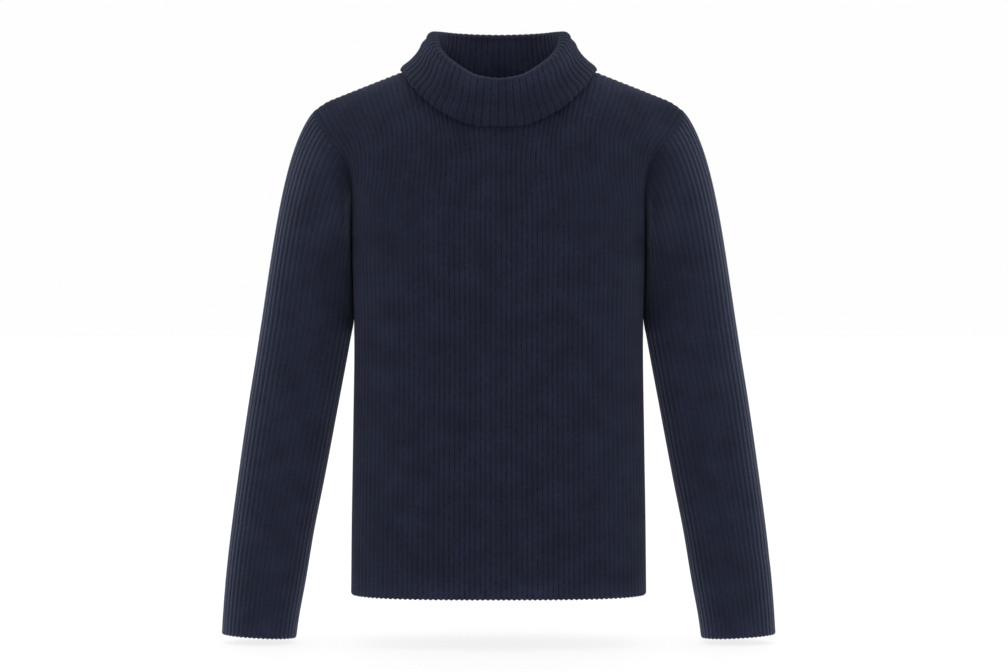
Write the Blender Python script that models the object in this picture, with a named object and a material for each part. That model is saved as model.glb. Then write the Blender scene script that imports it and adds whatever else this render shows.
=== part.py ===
"""Turtleneck sweater in rib knit: a hollow garment, filled out as if worn, with the collar folded over once.

Metres, +Z up, front towards -Y. The origin is on the shoulder line at the middle of the neck. The cloth is a wall
between a ribbed outer face, whose ridges touch the garment's outline, and a plain inner face. Front and back meet
in the plane y = 0, at the side seams and the shoulder seams.
"""

from collections import namedtuple

import bmesh
import bpy
import numpy as np

RIB_DEPTH = 0.0013
CLOTH_THICKNESS = 0.0022
SEAM_GAP = 0.0003
PANEL_RIBS = 70
SLEEVE_RIBS = 44
COLLAR_RIBS = 64
RIBS_PER_PANEL_FACET = 2.5
RIBS_PER_SLEEVE_FACET = 1.22
RIBS_PER_COLLAR_FACET = 1

SHOULDER_SLOPE = 0.392
SHOULDER_ROUNDING = 0.130
SHOULDER_POINT_X = 0.2313
SHOULDER_POINT_Z = -0.046
SHOULDER_TIP_DROP = 0.0063
SHOULDER_TIP_WIDTH = 0.0233
SHOULDER_TIP_POWER = 1.7
UNDERARM_Z = -0.232
NECK_HALF_WIDTH = 0.088
NECK_DROP_FRONT = 0.0755
NECK_DROP_BACK = 0.0155
NECK_CURVE_POWER = 2.6
BODY_EXPONENT = 3.0
BODY_ASPECT = 0.51
SPREAD_POWER = 5

SLEEVE_EXPONENT = 2.2
SLEEVE_ASPECT = 0.65
SLEEVE_START_REACH = 0.21
SLEEVE_END_REACH = 0.42
ARMHOLE_CLEARANCE = 0.0004
SLEEVE_SETBACK = 0.0003

FOLD_RADIUS = 0.008
COLLAR_SEAM_GAP = 0.0008

YARN = (0.0168, 0.0190, 0.0330, 1.0)
YARN_ROUGHNESS = 0.92

# The panel's side edge, from the hem up the side seam and then along the armhole to the shoulder point. roundness
# is the exponent of the section's oval, and pace is how fast the ribs in the middle move outwards on it.
EdgeRow = namedtuple("EdgeRow", "z half_width edge_x roundness pace")
EDGE = [
    EdgeRow(-0.6410, 0.1824, 0.1824, 3.0, 1.000),
    EdgeRow(-0.5600, 0.1817, 0.1817, 3.0, 1.000),
    EdgeRow(-0.4400, 0.1799, 0.1799, 2.95, 0.990),
    EdgeRow(-0.3160, 0.1787, 0.1787, 2.85, 0.930),
    EdgeRow(-0.2600, 0.1801, 0.1801, 2.75, 0.870),
    EdgeRow(-0.2320, 0.1813, 0.1813, 2.68, 0.840),
    EdgeRow(-0.2080, 0.1832, 0.1806, 2.58, 0.812),
    EdgeRow(-0.1720, 0.1908, 0.1802, 2.42, 0.768),
    EdgeRow(-0.1350, 0.2016, 0.1808, 2.25, 0.720),
    EdgeRow(-0.1040, 0.2150, 0.1905, 2.12, 0.710),
    EdgeRow(-0.0800, 0.2302, 0.2100, 2.05, 0.735),
    EdgeRow(-0.0600, 0.2368, 0.2246, 2.00, 0.780),
    EdgeRow(-0.0460, 0.2400, 0.2313, 2.00, 0.810),
    EdgeRow(-0.0100, 0.2440, 0.2313, 2.00, 0.810),
    EdgeRow(0.0300, 0.2460, 0.2313, 2.00, 0.810),
]

DepthRow = namedtuple("DepthRow", "z front back")
DEPTH = [
    DepthRow(-0.6410, 0.0920, 0.0885),
    DepthRow(-0.5200, 0.0905, 0.0860),
    DepthRow(-0.3800, 0.0910, 0.0855),
    DepthRow(-0.2600, 0.0940, 0.0885),
    DepthRow(-0.1700, 0.0945, 0.0905),
    DepthRow(-0.1000, 0.0915, 0.0895),
    DepthRow(-0.0400, 0.0875, 0.0865),
    DepthRow(0.0200, 0.0860, 0.0840),
]

# Heights of the panels' rows, measured at their side edge.
PANEL_ROWS = (
    -0.641, -0.520, -0.380, -0.285, -0.232, -0.208, -0.172, -0.135, -0.104, -0.080, -0.062, -0.051, -0.046,
)

# The sleeve under the armpit: tilt is how far its outer side is raised over its middle.
SleeveRow = namedtuple("SleeveRow", "z inner_x outer_x half_depth tilt")
SLEEVE = [
    SleeveRow(-0.3000, 0.1801, 0.2932, 0.0385, 0.0000),
    SleeveRow(-0.3060, 0.1803, 0.2941, 0.0384, 0.0000),
    SleeveRow(-0.3220, 0.1828, 0.2966, 0.0381, 0.0000),
    SleeveRow(-0.3410, 0.1862, 0.2995, 0.0378, 0.0000),
    SleeveRow(-0.4030, 0.1978, 0.3094, 0.0370, 0.0000),
    SleeveRow(-0.5020, 0.2164, 0.3236, 0.0358, 0.0000),
    SleeveRow(-0.5640, 0.2288, 0.3317, 0.0348, 0.0003),
    SleeveRow(-0.6260, 0.2393, 0.3385, 0.0338, 0.0010),
    SleeveRow(-0.6760, 0.2486, 0.3422, 0.0327, 0.0022),
    SleeveRow(-0.6935, 0.2510, 0.3432, 0.0325, 0.0027),
]
CAP_STEPS = (0.0, 0.10, 0.30, 0.60, 1.0)
SLEEVE_ROWS = (-0.403, -0.502, -0.600, -0.676, -0.6935)

# How the sleeve leaves the armhole seam, from the shoulder point (0) round the front to the armpit (1).
LeaveRow = namedtuple("LeaveRow", "loop out forward up")
LEAVE = [
    LeaveRow(0.00, 0.62, 0.00, -0.785),
    LeaveRow(0.20, 0.55, 0.24, -0.78),
    LeaveRow(0.42, 0.42, 0.16, -0.88),
    LeaveRow(0.60, 0.34, 0.09, -0.93),
    LeaveRow(0.80, 0.20, 0.04, -0.98),
    LeaveRow(1.00, 0.00, 0.00, -1.00),
]

# The collar by angle round the neck: 0 is the front, 90 the shoulder and 180 the back.
CollarRow = namedtuple("CollarRow", "angle fold_radius fold_z edge_radius edge_z")
COLLAR = [
    CollarRow(0, 0.0830, -0.0205, 0.0952, -0.0720),
    CollarRow(20, 0.0835, -0.0148, 0.0995, -0.0695),
    CollarRow(40, 0.0830, 0.0000, 0.1110, -0.0530),
    CollarRow(60, 0.0838, 0.0190, 0.1202, -0.0225),
    CollarRow(76, 0.0828, 0.0355, 0.1222, -0.0002),
    CollarRow(90, 0.0820, 0.0455, 0.1222, 0.0065),
    CollarRow(108, 0.0798, 0.0497, 0.1100, 0.0050),
    CollarRow(135, 0.0762, 0.0515, 0.0940, -0.0050),
    CollarRow(160, 0.0732, 0.0520, 0.0860, -0.0085),
    CollarRow(180, 0.0722, 0.0520, 0.0845, -0.0095),
]

# How far out the collar's outer side stands at shares of the way down from the fold to its free edge.
FallRow = namedtuple("FallRow", "down flare")
FALL = [
    FallRow(0.00, 0.000),
    FallRow(0.12, 0.150),
    FallRow(0.31, 0.260),
    FallRow(0.50, 0.415),
    FallRow(0.70, 0.650),
    FallRow(0.88, 0.910),
    FallRow(1.00, 1.000),
]
STAND_STEPS = (0.0, 0.5, 1.0)
FOLD_STEPS = (1 / 3, 2 / 3, 1.0)
FALL_STEPS = (0.3, 0.6, 0.86, 1.0)


def smooth(x, xs, ys):
    """A smooth curve through the points of a table."""
    xs, ys = np.asarray(xs, float), np.asarray(ys, float)
    slopes = np.gradient(ys, xs)
    x = np.clip(x, xs[0], xs[-1])
    i = np.clip(np.searchsorted(xs, x) - 1, 0, len(xs) - 2)
    h = xs[i + 1] - xs[i]
    t = (x - xs[i]) / h
    start = ys[i] * (1 + 2 * t) * (1 - t) ** 2 + ys[i + 1] * t * t * (3 - 2 * t)
    return start + h * (slopes[i] * t * (1 - t) ** 2 + slopes[i + 1] * t * t * (t - 1))


def column(table, x, key, by="z"):
    """One named column of a table, read smoothly at x."""
    return smooth(x, [getattr(row, by) for row in table], [getattr(row, key) for row in table])


def half_ring(exponent, aspect, samples=2001):
    """Half a rounded oval from x = -1 to x = 1: x and depth against the share of its length."""
    angle = np.linspace(np.pi, 0, samples)
    x = np.sign(np.cos(angle)) * np.abs(np.cos(angle)) ** (2 / exponent)
    depth = np.sin(angle).clip(0) ** (2 / exponent)
    length = np.concatenate([[0], np.cumsum(np.hypot(np.diff(x), aspect * np.diff(depth)))])
    return length / length[-1], x, depth


BODY_RING = half_ring(BODY_EXPONENT, BODY_ASPECT)
SLEEVE_RING = half_ring(SLEEVE_EXPONENT, SLEEVE_ASPECT)


def shoulder_line(x):
    """Height of the shoulder seam: straight from the neck, then bent down over the shoulder point."""
    inside = SHOULDER_POINT_X - np.abs(x)
    bend = np.clip(1 - inside / SHOULDER_TIP_WIDTH, 0, 1) ** SHOULDER_TIP_POWER
    return SHOULDER_POINT_Z + inside * SHOULDER_SLOPE + SHOULDER_TIP_DROP * (1 - bend)


def top_edge(x, front):
    """Height of the panel's upper edge: neckline in the middle, shoulder seam outside it."""
    drop = NECK_DROP_FRONT if front else NECK_DROP_BACK
    share = np.minimum(np.abs(x) / NECK_HALF_WIDTH, 1)
    neckline = shoulder_line(NECK_HALF_WIDTH) - drop * (1 - share**NECK_CURVE_POWER)
    return np.where(np.abs(x) < NECK_HALF_WIDTH, neckline, shoulder_line(x))


def body_depth(x, z, front):
    """How far the body stands forward (or back) of the plane of its seams."""
    roundness = column(EDGE, z, "roundness")
    across = np.minimum(np.abs(x) / column(EDGE, z, "half_width"), 1)
    below = np.clip((shoulder_line(x) - z) / SHOULDER_ROUNDING, 0, 1)
    depth = column(DEPTH, z, "front" if front else "back")
    return depth * (1 - across**roundness) ** (1 / roundness) * np.sqrt(1 - (1 - below) ** 2)


def panel_point(u, row_z, front):
    """A point of the front or back: u runs from -1 to 1 between the side edges, row_z is the row's height there."""
    u, row_z = np.broadcast_arrays(np.asarray(u, float), np.asarray(row_z, float))
    edge_x = column(EDGE, row_z, "edge_x")
    share, ring_x, _ = BODY_RING
    edge_share = np.interp(edge_x / column(EDGE, row_z, "half_width"), ring_x, share) - 0.5
    middle_share = column(EDGE, row_z, "pace") / 2
    eased = u * (middle_share + (edge_share - middle_share) * np.abs(u) ** SPREAD_POWER)
    even = np.interp(0.5 + eased, share, ring_x) / np.interp(0.5 + edge_share, share, ring_x)
    rise = np.clip((row_z - UNDERARM_Z) / (SHOULDER_POINT_Z - UNDERARM_Z), 0, 1)
    x = edge_x * (even + (u - even) * rise**2)
    z = row_z + rise * (top_edge(SHOULDER_POINT_X * u, front) - SHOULDER_POINT_Z)
    depth = body_depth(x, z, front) + SEAM_GAP / 2
    return np.stack([x, -depth if front else depth, z], axis=-1)


def unit(v):
    return v / np.linalg.norm(v, axis=-1, keepdims=True)


def surface_normal(point, a, b, a_range, b_range, step=1e-3):
    """The outward normal of point(a, b), by small steps kept inside the ranges."""
    a_step, b_step = step * (a_range[1] - a_range[0]), step * (b_range[1] - b_range[0])
    a0, a1 = np.clip(a - a_step, *a_range), np.clip(a + a_step, *a_range)
    b0, b1 = np.clip(b - b_step, *b_range), np.clip(b + b_step, *b_range)
    return unit(np.cross(point(a1, b) - point(a0, b), point(a, b1) - point(a, b0)))


def panel_normal(u, row_z, front):
    """Outward normal of a panel. At a seam it stays in the seam's plane, so both walls end there face to face."""
    u, row_z = np.broadcast_arrays(np.asarray(u, float), np.asarray(row_z, float))
    rows = (PANEL_ROWS[0], PANEL_ROWS[-1])
    normal = surface_normal(lambda a, b: panel_point(a, b, front), u, row_z, (-1, 1), rows)
    if not front:
        normal = -normal
    on_side_seam = (np.abs(u) > 1 - 1e-9) & (row_z < UNDERARM_Z + 1e-9)
    on_shoulder = (row_z > rows[1] - 1e-9) & (np.abs(u) * SHOULDER_POINT_X >= NECK_HALF_WIDTH)
    normal[on_side_seam | on_shoulder, 1] = 0
    return unit(normal)


class Armhole:
    """The seam between the body and one sleeve: straight between the panels' rows, on both pieces."""

    def __init__(self, side):
        self.side = side
        self.heights = [z for z in PANEL_ROWS if z > UNDERARM_Z - 1e-9][::-1]
        self.points, self.body_normals = {}, {}
        for front in (True, False):
            u = np.full(len(self.heights), float(side))
            self.points[front] = panel_point(u, self.heights, front)
            self.body_normals[front] = panel_normal(u, self.heights, front)
        self.shares = {front: self.share_along(points) for front, points in self.points.items()}
        self.sleeve_normals = {front: self.seam_sleeve_normal(front) for front in (True, False)}

    @staticmethod
    def share_along(points):
        length = np.concatenate([[0], np.cumsum(np.linalg.norm(np.diff(points, axis=0), axis=1))])
        return length / length[-1]

    def read(self, loop, front, rows):
        """A table of rows down the seam, read at shares of its length."""
        shares = self.shares[front]
        return np.stack([np.interp(loop, shares, rows[:, k]) for k in range(3)], axis=-1)

    def start(self, loop, front):
        """Where the sleeve starts, just clear of the body. The middle lines lie on the plane of the seams."""
        point = self.read(loop, front, self.points[front])
        on_plane = (loop < 1e-9) | (loop > 1 - 1e-9)
        point[..., 1] = np.where(on_plane, 0, point[..., 1])
        point[..., 0] += self.side * ARMHOLE_CLEARANCE
        return point

    def seam_sleeve_normal(self, front):
        ribs = rib_share_of_loop(self.shares[front])
        signed = ribs if front else -ribs
        return sleeve_normal(self, signed, np.zeros_like(signed))

    def wall_normal(self, loop, front, own, other):
        """One shared mitre where the cloth bends gently. Where it folds back on itself, each wall keeps its own."""
        agreement = np.sum(own[front] * other[front], axis=-1, keepdims=True)
        t = np.clip((agreement + 0.6) / 0.8, 0, 1)
        shared = unit(own[front] + t * t * (3 - 2 * t) * other[front])
        return self.read(loop, front, shared)

    def body_wall_normal(self, front):
        return self.wall_normal(self.shares[front], front, self.body_normals, self.sleeve_normals)

    def sleeve_wall_normal(self, loop, front):
        return self.wall_normal(loop, front, self.sleeve_normals, self.body_normals)


def loop_share_of_rib(rib):
    """Where a rib starts on the armhole seam. Ribs lie closer at the shoulder than under the arm."""
    return 0.55 * rib + 0.45 * rib**2.3


def rib_share_of_loop(loop):
    ribs = np.linspace(0, 1, 401)
    return np.interp(loop, loop_share_of_rib(ribs), ribs)


def sleeve_ring(side, ribs, z):
    """The sleeve under the armpit. ribs is 0 on its outer line, and -1 and 1 on its inner one, round the back
    and the front."""
    share, ring_x, ring_depth = SLEEVE_RING
    across = np.interp(1 - np.abs(ribs), share, ring_x)
    inner, outer = column(SLEEVE[::-1], z, "inner_x"), column(SLEEVE[::-1], z, "outer_x")
    x = (inner + outer) / 2 + across * (outer - inner) / 2
    depth = column(SLEEVE[::-1], z, "half_depth") * np.interp(1 - np.abs(ribs), share, ring_depth)
    height = z + across * column(SLEEVE[::-1], z, "tilt")
    return np.stack([side * x, -np.sign(ribs) * depth, height], axis=-1)


def sleeve_cap(armhole, ribs, step):
    """The sleeve from the armhole seam (step 0) down to its first full ring (step 1)."""
    loop = loop_share_of_rib(np.abs(ribs))
    forward = ribs > 0
    start = np.where(forward[..., None], armhole.start(loop, True), armhole.start(loop, False))
    top_z, below = SLEEVE[0].z, 0.002
    end = sleeve_ring(armhole.side, ribs, np.full_like(ribs, top_z))
    fall = unit(sleeve_ring(armhole.side, ribs, np.full_like(ribs, top_z - below)) - end)
    leave = [column(LEAVE, loop, key, "loop") for key in ("out", "forward", "up")]
    leave = unit(np.stack([armhole.side * leave[0], -np.sign(ribs) * leave[1], leave[2]], axis=-1))
    start = start + leave * SLEEVE_SETBACK
    reach = np.linalg.norm(end - start, axis=-1, keepdims=True)
    first = start + leave * reach * SLEEVE_START_REACH
    second = end - fall * reach * SLEEVE_END_REACH
    t = step[..., None]
    return start * (1 - t) ** 3 + 3 * first * t * (1 - t) ** 2 + 3 * second * t * t * (1 - t) + end * t**3


def sleeve_point(armhole, ribs, along):
    """A point of the sleeve: along is 0 at the armhole, 1 at the first full ring and 2 at the cuff."""
    ribs, along = np.broadcast_arrays(np.asarray(ribs, float), np.asarray(along, float))
    z = SLEEVE[0].z + np.clip(along - 1, 0, 1) * (SLEEVE[-1].z - SLEEVE[0].z)
    lower = sleeve_ring(armhole.side, ribs, z)
    upper = sleeve_cap(armhole, ribs, np.clip(along, 0, 1))
    return np.where((along <= 1)[..., None], upper, lower)


def sleeve_normal(armhole, ribs, along):
    """Outward normal of the sleeve, in the plane of the seams on its outer and inner lines."""
    ribs, along = np.broadcast_arrays(np.asarray(ribs, float), np.asarray(along, float))
    normal = surface_normal(lambda a, b: sleeve_point(armhole, a, b), ribs, along, (-1, 1), (0, 2))
    normal[(np.abs(ribs) < 1e-9) | (np.abs(ribs) > 1 - 1e-9), 1] = 0
    return armhole.side * unit(normal)


def neckline(front, samples=201):
    """The collar's foot on one panel: its outer line, by angle round the neck."""
    u = np.linspace(0, NECK_HALF_WIDTH / SHOULDER_POINT_X, samples)
    top = PANEL_ROWS[-1]
    point = panel_point(u, top, front)
    normal = panel_normal(u, np.full_like(u, top), front)
    upward = unit(np.cross(normal, np.gradient(point, axis=0)))
    upward *= np.sign(upward[:, 2:])
    foot = point - normal * RIB_DEPTH + upward * COLLAR_SEAM_GAP
    foot[-1, 1] = 0
    angle = np.degrees(np.arctan2(foot[:, 0].clip(0), -foot[:, 1]))
    return angle, np.hypot(foot[:, 0], foot[:, 1]), foot[:, 2]


class Collar:
    """The collar's visible face: up the inside of the neck, over the fold and down the outside."""

    def __init__(self):
        front, back = neckline(True), neckline(False)
        self.foot = [np.concatenate([a, b[-2::-1]]) for a, b in zip(front, back)]

    def profile(self, angle, along):
        """Radius and height: along is 0 to 1 up the inside, 1 to 2 over the fold and 2 to 3 down the outside."""
        turn = np.degrees(np.abs(angle))
        fold_r, fold_z = (column(COLLAR, turn, key, "angle") for key in ("fold_radius", "fold_z"))
        edge_r, edge_z = (column(COLLAR, turn, key, "angle") for key in ("edge_radius", "edge_z"))
        foot_r = np.interp(turn, self.foot[0], self.foot[1]) - CLOTH_THICKNESS - RIB_DEPTH
        foot_z = np.interp(turn, self.foot[0], self.foot[2])
        up = np.clip(along, 0, 1)
        ease = up * up * (3 - 2 * up)
        inside = (foot_r + (fold_r - FOLD_RADIUS - foot_r) * ease, foot_z + (fold_z - foot_z) * up)
        over = np.pi * (1 - np.clip(along - 1, 0, 1))
        crown = (fold_r + FOLD_RADIUS * np.cos(over), fold_z + FOLD_RADIUS * np.sin(over))
        down = np.clip(along - 2, 0, 1)
        flare = column(FALL, down, "flare", "down")
        outside = (
            fold_r + FOLD_RADIUS + (edge_r - fold_r - FOLD_RADIUS) * flare,
            fold_z + (edge_z - fold_z) * down,
        )
        return [np.where(along <= 1, a, np.where(along <= 2, b, c)) for a, b, c in zip(inside, crown, outside)]

    def point(self, angle, along):
        angle, along = np.broadcast_arrays(np.asarray(angle, float), np.asarray(along, float))
        radius, z = self.profile((angle + np.pi) % (2 * np.pi) - np.pi, along)
        return np.stack([radius * np.sin(angle), -radius * np.cos(angle), z], axis=-1)

    def normal(self, angle, along):
        """Normal of the visible face, away from the cloth. Joins between stretches take the mean of both sides."""
        step = 1e-3
        angle, along = np.broadcast_arrays(np.asarray(angle, float), np.asarray(along, float))
        before, after = np.clip(along - step, 0, 3), np.clip(along + step, 0, 3)
        lengthwise = unit(self.point(angle, after) - self.point(angle, before))
        around = self.point(angle + step, along) - self.point(angle - step, along)
        return unit(np.cross(lengthwise, around))


def bridge(fine, coarse):
    """Triangles between two lines of vertices that run side by side, the first with more of them."""
    faces, i, j = [], 0, 0
    while i < len(fine) - 1 or j < len(coarse) - 1:
        fine_next = (i + 1) / (len(fine) - 1) if i < len(fine) - 1 else 2
        coarse_next = (j + 1) / (len(coarse) - 1) if j < len(coarse) - 1 else 2
        if fine_next <= coarse_next + 1e-9:
            faces.append((fine[i], fine[i + 1], coarse[j]))
            i += 1
        else:
            faces.append((fine[i], coarse[j + 1], coarse[j]))
            j += 1
    return faces


def sheet_faces(rows, closed, flip):
    faces = []
    for low, high in zip(rows, rows[1:]):
        pairs = list(zip(low, high))
        if closed:
            pairs.append(pairs[0])
        for (a, d), (b, c) in zip(pairs, pairs[1:]):
            faces.append((a, d, c, b) if flip else (a, b, c, d))
    return faces


def wall_mesh(name, outer, inner, closed):
    """A closed wall between a fine outer face and a coarser inner one, both given as rows of points."""
    mesh = bpy.data.meshes.new(name)
    bm = bmesh.new()
    outer_rows = [[bm.verts.new(p) for p in row] for row in outer]
    inner_rows = [[bm.verts.new(p) for p in row] for row in inner]
    faces = sheet_faces(outer_rows, closed, False) + sheet_faces(inner_rows, closed, True)
    for fine, coarse, flip in ((outer_rows[0], inner_rows[0], True), (outer_rows[-1], inner_rows[-1], False)):
        if closed:
            fine, coarse = fine + fine[:1], coarse + coarse[:1]
        faces += [f[::-1] if flip else f for f in bridge(fine, coarse)]
    if not closed:
        for k in (0, -1):
            side = sheet_faces([[r[k] for r in outer_rows], [r[k] for r in inner_rows]], False, k == 0)
            faces += side
    for face in faces:
        bm.faces.new(face)
    bmesh.ops.triangulate(bm, faces=bm.faces[:])
    bmesh.ops.recalc_face_normals(bm, faces=bm.faces[:])
    bm.to_mesh(mesh)
    bm.free()
    return mesh


def rib_heights(count, closed):
    """Valley, ridge, valley and so on, as depths under the outline."""
    columns = 2 * count + (0 if closed else 1)
    return np.where(np.arange(columns) % 2 == 0, RIB_DEPTH, 0.0)


def build_panel(front, armholes):
    """Front or back: the ribbed face runs from the outline, the plain one lies under the valleys."""
    inner_columns = round(PANEL_RIBS / RIBS_PER_PANEL_FACET)
    rows = np.array(PANEL_ROWS)
    in_armhole = rows > UNDERARM_Z - 1e-9
    faces = []
    for columns, depths in (
        (2 * PANEL_RIBS, rib_heights(PANEL_RIBS, False)),
        (inner_columns, np.full(inner_columns + 1, RIB_DEPTH + CLOTH_THICKNESS)),
    ):
        u, z = np.meshgrid(np.linspace(-1, 1, columns + 1), rows)
        points, normals = panel_point(u, z, front), panel_normal(u, z, front)
        for k, armhole in ((0, armholes[-1]), (-1, armholes[1])):
            normals[in_armhole, k] = armhole.body_wall_normal(front)[::-1]
        faces.append(points - normals * depths[None, :, None])
    return wall_mesh("front" if front else "back", *faces, closed=False)


def build_sleeve(armhole, name):
    inner_columns = round(SLEEVE_RIBS / RIBS_PER_SLEEVE_FACET / 2) * 2
    rows = list(CAP_STEPS)
    rows += [1 + (z - SLEEVE[0].z) / (SLEEVE[-1].z - SLEEVE[0].z) for z in SLEEVE_ROWS]
    faces = []
    for columns, depths in (
        (2 * SLEEVE_RIBS, rib_heights(SLEEVE_RIBS, True)),
        (inner_columns, np.full(inner_columns, RIB_DEPTH + CLOTH_THICKNESS)),
    ):
        ribs, along = np.meshgrid(np.linspace(-1, 1, columns, endpoint=False), rows)
        points, normals = sleeve_point(armhole, ribs, along), sleeve_normal(armhole, ribs, along)
        loop = loop_share_of_rib(np.abs(ribs[0]))
        front_normals = armhole.sleeve_wall_normal(loop, True)
        back_normals = armhole.sleeve_wall_normal(loop, False)
        normals[0] = np.where((ribs[0] > 0)[:, None], front_normals, back_normals)
        faces.append(points - normals * depths[None, :, None])
    return wall_mesh(name, *faces, closed=True)


def build_collar():
    collar = Collar()
    inner_columns = round(COLLAR_RIBS / RIBS_PER_COLLAR_FACET)
    rows = STAND_STEPS + tuple(1 + s for s in FOLD_STEPS) + tuple(2 + s for s in FALL_STEPS)
    faces = []
    for columns, depths in (
        (2 * COLLAR_RIBS, rib_heights(COLLAR_RIBS, True)),
        (inner_columns, np.full(inner_columns, RIB_DEPTH + CLOTH_THICKNESS)),
    ):
        angle, along = np.meshgrid(np.linspace(-np.pi, np.pi, columns, endpoint=False), rows)
        points, normals = collar.point(angle, along), collar.normal(angle, along)
        normals[0, :, 2] = 0
        faces.append(points - unit(normals) * depths[None, :, None])
    return wall_mesh("collar", *faces, closed=True)


def yarn_material(name):
    material = bpy.data.materials.new(name)
    material.use_nodes = True
    shader = material.node_tree.nodes["Principled BSDF"]
    shader.inputs["Base Color"].default_value = YARN
    shader.inputs["Roughness"].default_value = YARN_ROUGHNESS
    shader.inputs["Metallic"].default_value = 0.0
    return material


def add_piece(collection, mesh):
    mesh.materials.append(yarn_material(mesh.name + "_rib_knit"))
    mesh.shade_smooth()
    mesh.set_sharp_from_angle(angle=np.radians(50))
    collection.objects.link(bpy.data.objects.new(mesh.name, mesh))


def main():
    for old in list(bpy.data.objects):
        bpy.data.objects.remove(old)
    collection = bpy.data.collections.new("turtleneck_sweater")
    bpy.context.scene.collection.children.link(collection)
    armholes = {side: Armhole(side) for side in (-1, 1)}
    add_piece(collection, build_panel(True, armholes))
    add_piece(collection, build_panel(False, armholes))
    add_piece(collection, build_sleeve(armholes[-1], "sleeve_right"))
    add_piece(collection, build_sleeve(armholes[1], "sleeve_left"))
    add_piece(collection, build_collar())


main()
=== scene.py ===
from collections import namedtuple

import bpy
import numpy as np
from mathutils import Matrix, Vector


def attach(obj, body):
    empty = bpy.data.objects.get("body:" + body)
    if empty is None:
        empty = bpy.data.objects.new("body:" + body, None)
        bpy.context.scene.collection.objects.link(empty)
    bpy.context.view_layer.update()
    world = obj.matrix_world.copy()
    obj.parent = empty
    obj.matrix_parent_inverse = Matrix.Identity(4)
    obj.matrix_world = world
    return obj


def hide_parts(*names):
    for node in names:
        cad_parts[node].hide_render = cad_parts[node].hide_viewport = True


# A turtleneck sweater in 2 x 2 rib knit, hollow and filled out. Each piece is a thin closed shell on the form
# of its solid. Metres, +Z up, front towards -Y, the origin on the shoulder line at the middle of the neck.

bl_info = {
    "name": "Rib-knit turtleneck sweater",
    "version": (1, 0, 0),
    "blender": (4, 5, 0),
    "location": "View3D > Sidebar > Sweater",
    "description": "Makes a filled-out turtleneck sweater in 2 x 2 rib knit, piece by piece",
    "category": "Add Mesh",
}

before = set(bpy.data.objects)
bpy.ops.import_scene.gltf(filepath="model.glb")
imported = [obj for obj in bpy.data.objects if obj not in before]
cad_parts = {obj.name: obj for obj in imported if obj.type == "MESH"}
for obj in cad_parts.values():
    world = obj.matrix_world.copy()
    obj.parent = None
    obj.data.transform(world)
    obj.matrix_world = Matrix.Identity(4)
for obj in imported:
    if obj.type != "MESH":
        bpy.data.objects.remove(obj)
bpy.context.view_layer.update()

# Ribs round each piece: on a panel, round a sleeve and round the collar.
PANEL_RIBS = 75
SLEEVE_RIBS = 44
COLLAR_RIBS = 68

# Clear space between two pieces at a seam. The sleeve starts a little inside the body's edge.
SEAM_GAP = 0.00006
ARMHOLE_CLEARANCE = 0.0001
SLEEVE_SETBACK = -0.0003
COLLAR_SEAM_GAP = 0.0008

# The shoulder line falls evenly to the shoulder point and is bent down over it.
SHOULDER_SLOPE = 0.392
SHOULDER_ROUNDING = 0.130
SHOULDER_POINT_X = 0.2313
SHOULDER_POINT_Z = -0.046
SHOULDER_TIP_DROP = 0.0063
SHOULDER_TIP_WIDTH = 0.0233
SHOULDER_TIP_POWER = 1.7
UNDERARM_Z = -0.232

# The neckline, and the fold of the collar that stands in it.
NECK_HALF_WIDTH = 0.088
NECK_DROP_FRONT = 0.0755
NECK_DROP_BACK = 0.0155
NECK_CURVE_POWER = 2.6
FOLD_RADIUS = 0.008
FRONT_ROUNDING = 9.0

# Ovals that spread the columns round the body and the sleeve.
BODY_EXPONENT = 3.0
BODY_ASPECT = 0.51
SLEEVE_EXPONENT = 2.2
SLEEVE_ASPECT = 0.65

# How far the sleeve runs straight out of the armhole and straight into its first full ring, as shares.
SLEEVE_START_REACH = 0.21
SLEEVE_END_REACH = 0.42

# Part of a sleeve rib's place on the armhole seam is even, and a power brings the rest closer at the top.
ARMHOLE_EVEN_SHARE = 0.55
ARMHOLE_CROWDING = 2.3

# Two walls that meet share one mitre, the more of it the more their normals agree, from this start on.
MITRE_START = -0.6
MITRE_RANGE = 0.8

# The panel's side edge, from the hem up the side seam and then along the armhole to the shoulder point. The
# roundness is the exponent of the section's oval.
EdgeRow = namedtuple("EdgeRow", "z half_width edge_x roundness")
EDGE = [
    EdgeRow(-0.6410, 0.1824, 0.1824, 3.0),
    EdgeRow(-0.5600, 0.1817, 0.1817, 3.0),
    EdgeRow(-0.4400, 0.1799, 0.1799, 2.95),
    EdgeRow(-0.3160, 0.1787, 0.1787, 2.85),
    EdgeRow(-0.2600, 0.1801, 0.1801, 2.75),
    EdgeRow(-0.2320, 0.1813, 0.1813, 2.68),
    EdgeRow(-0.2080, 0.1832, 0.1806, 2.58),
    EdgeRow(-0.1720, 0.1908, 0.1802, 2.42),
    EdgeRow(-0.1350, 0.2016, 0.1808, 2.25),
    EdgeRow(-0.1040, 0.2150, 0.1905, 2.12),
    EdgeRow(-0.0800, 0.2302, 0.2100, 2.05),
    EdgeRow(-0.0600, 0.2368, 0.2246, 2.00),
    EdgeRow(-0.0460, 0.2400, 0.2313, 2.00),
    EdgeRow(-0.0100, 0.2440, 0.2313, 2.00),
    EdgeRow(0.0300, 0.2460, 0.2313, 2.00),
]

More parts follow.
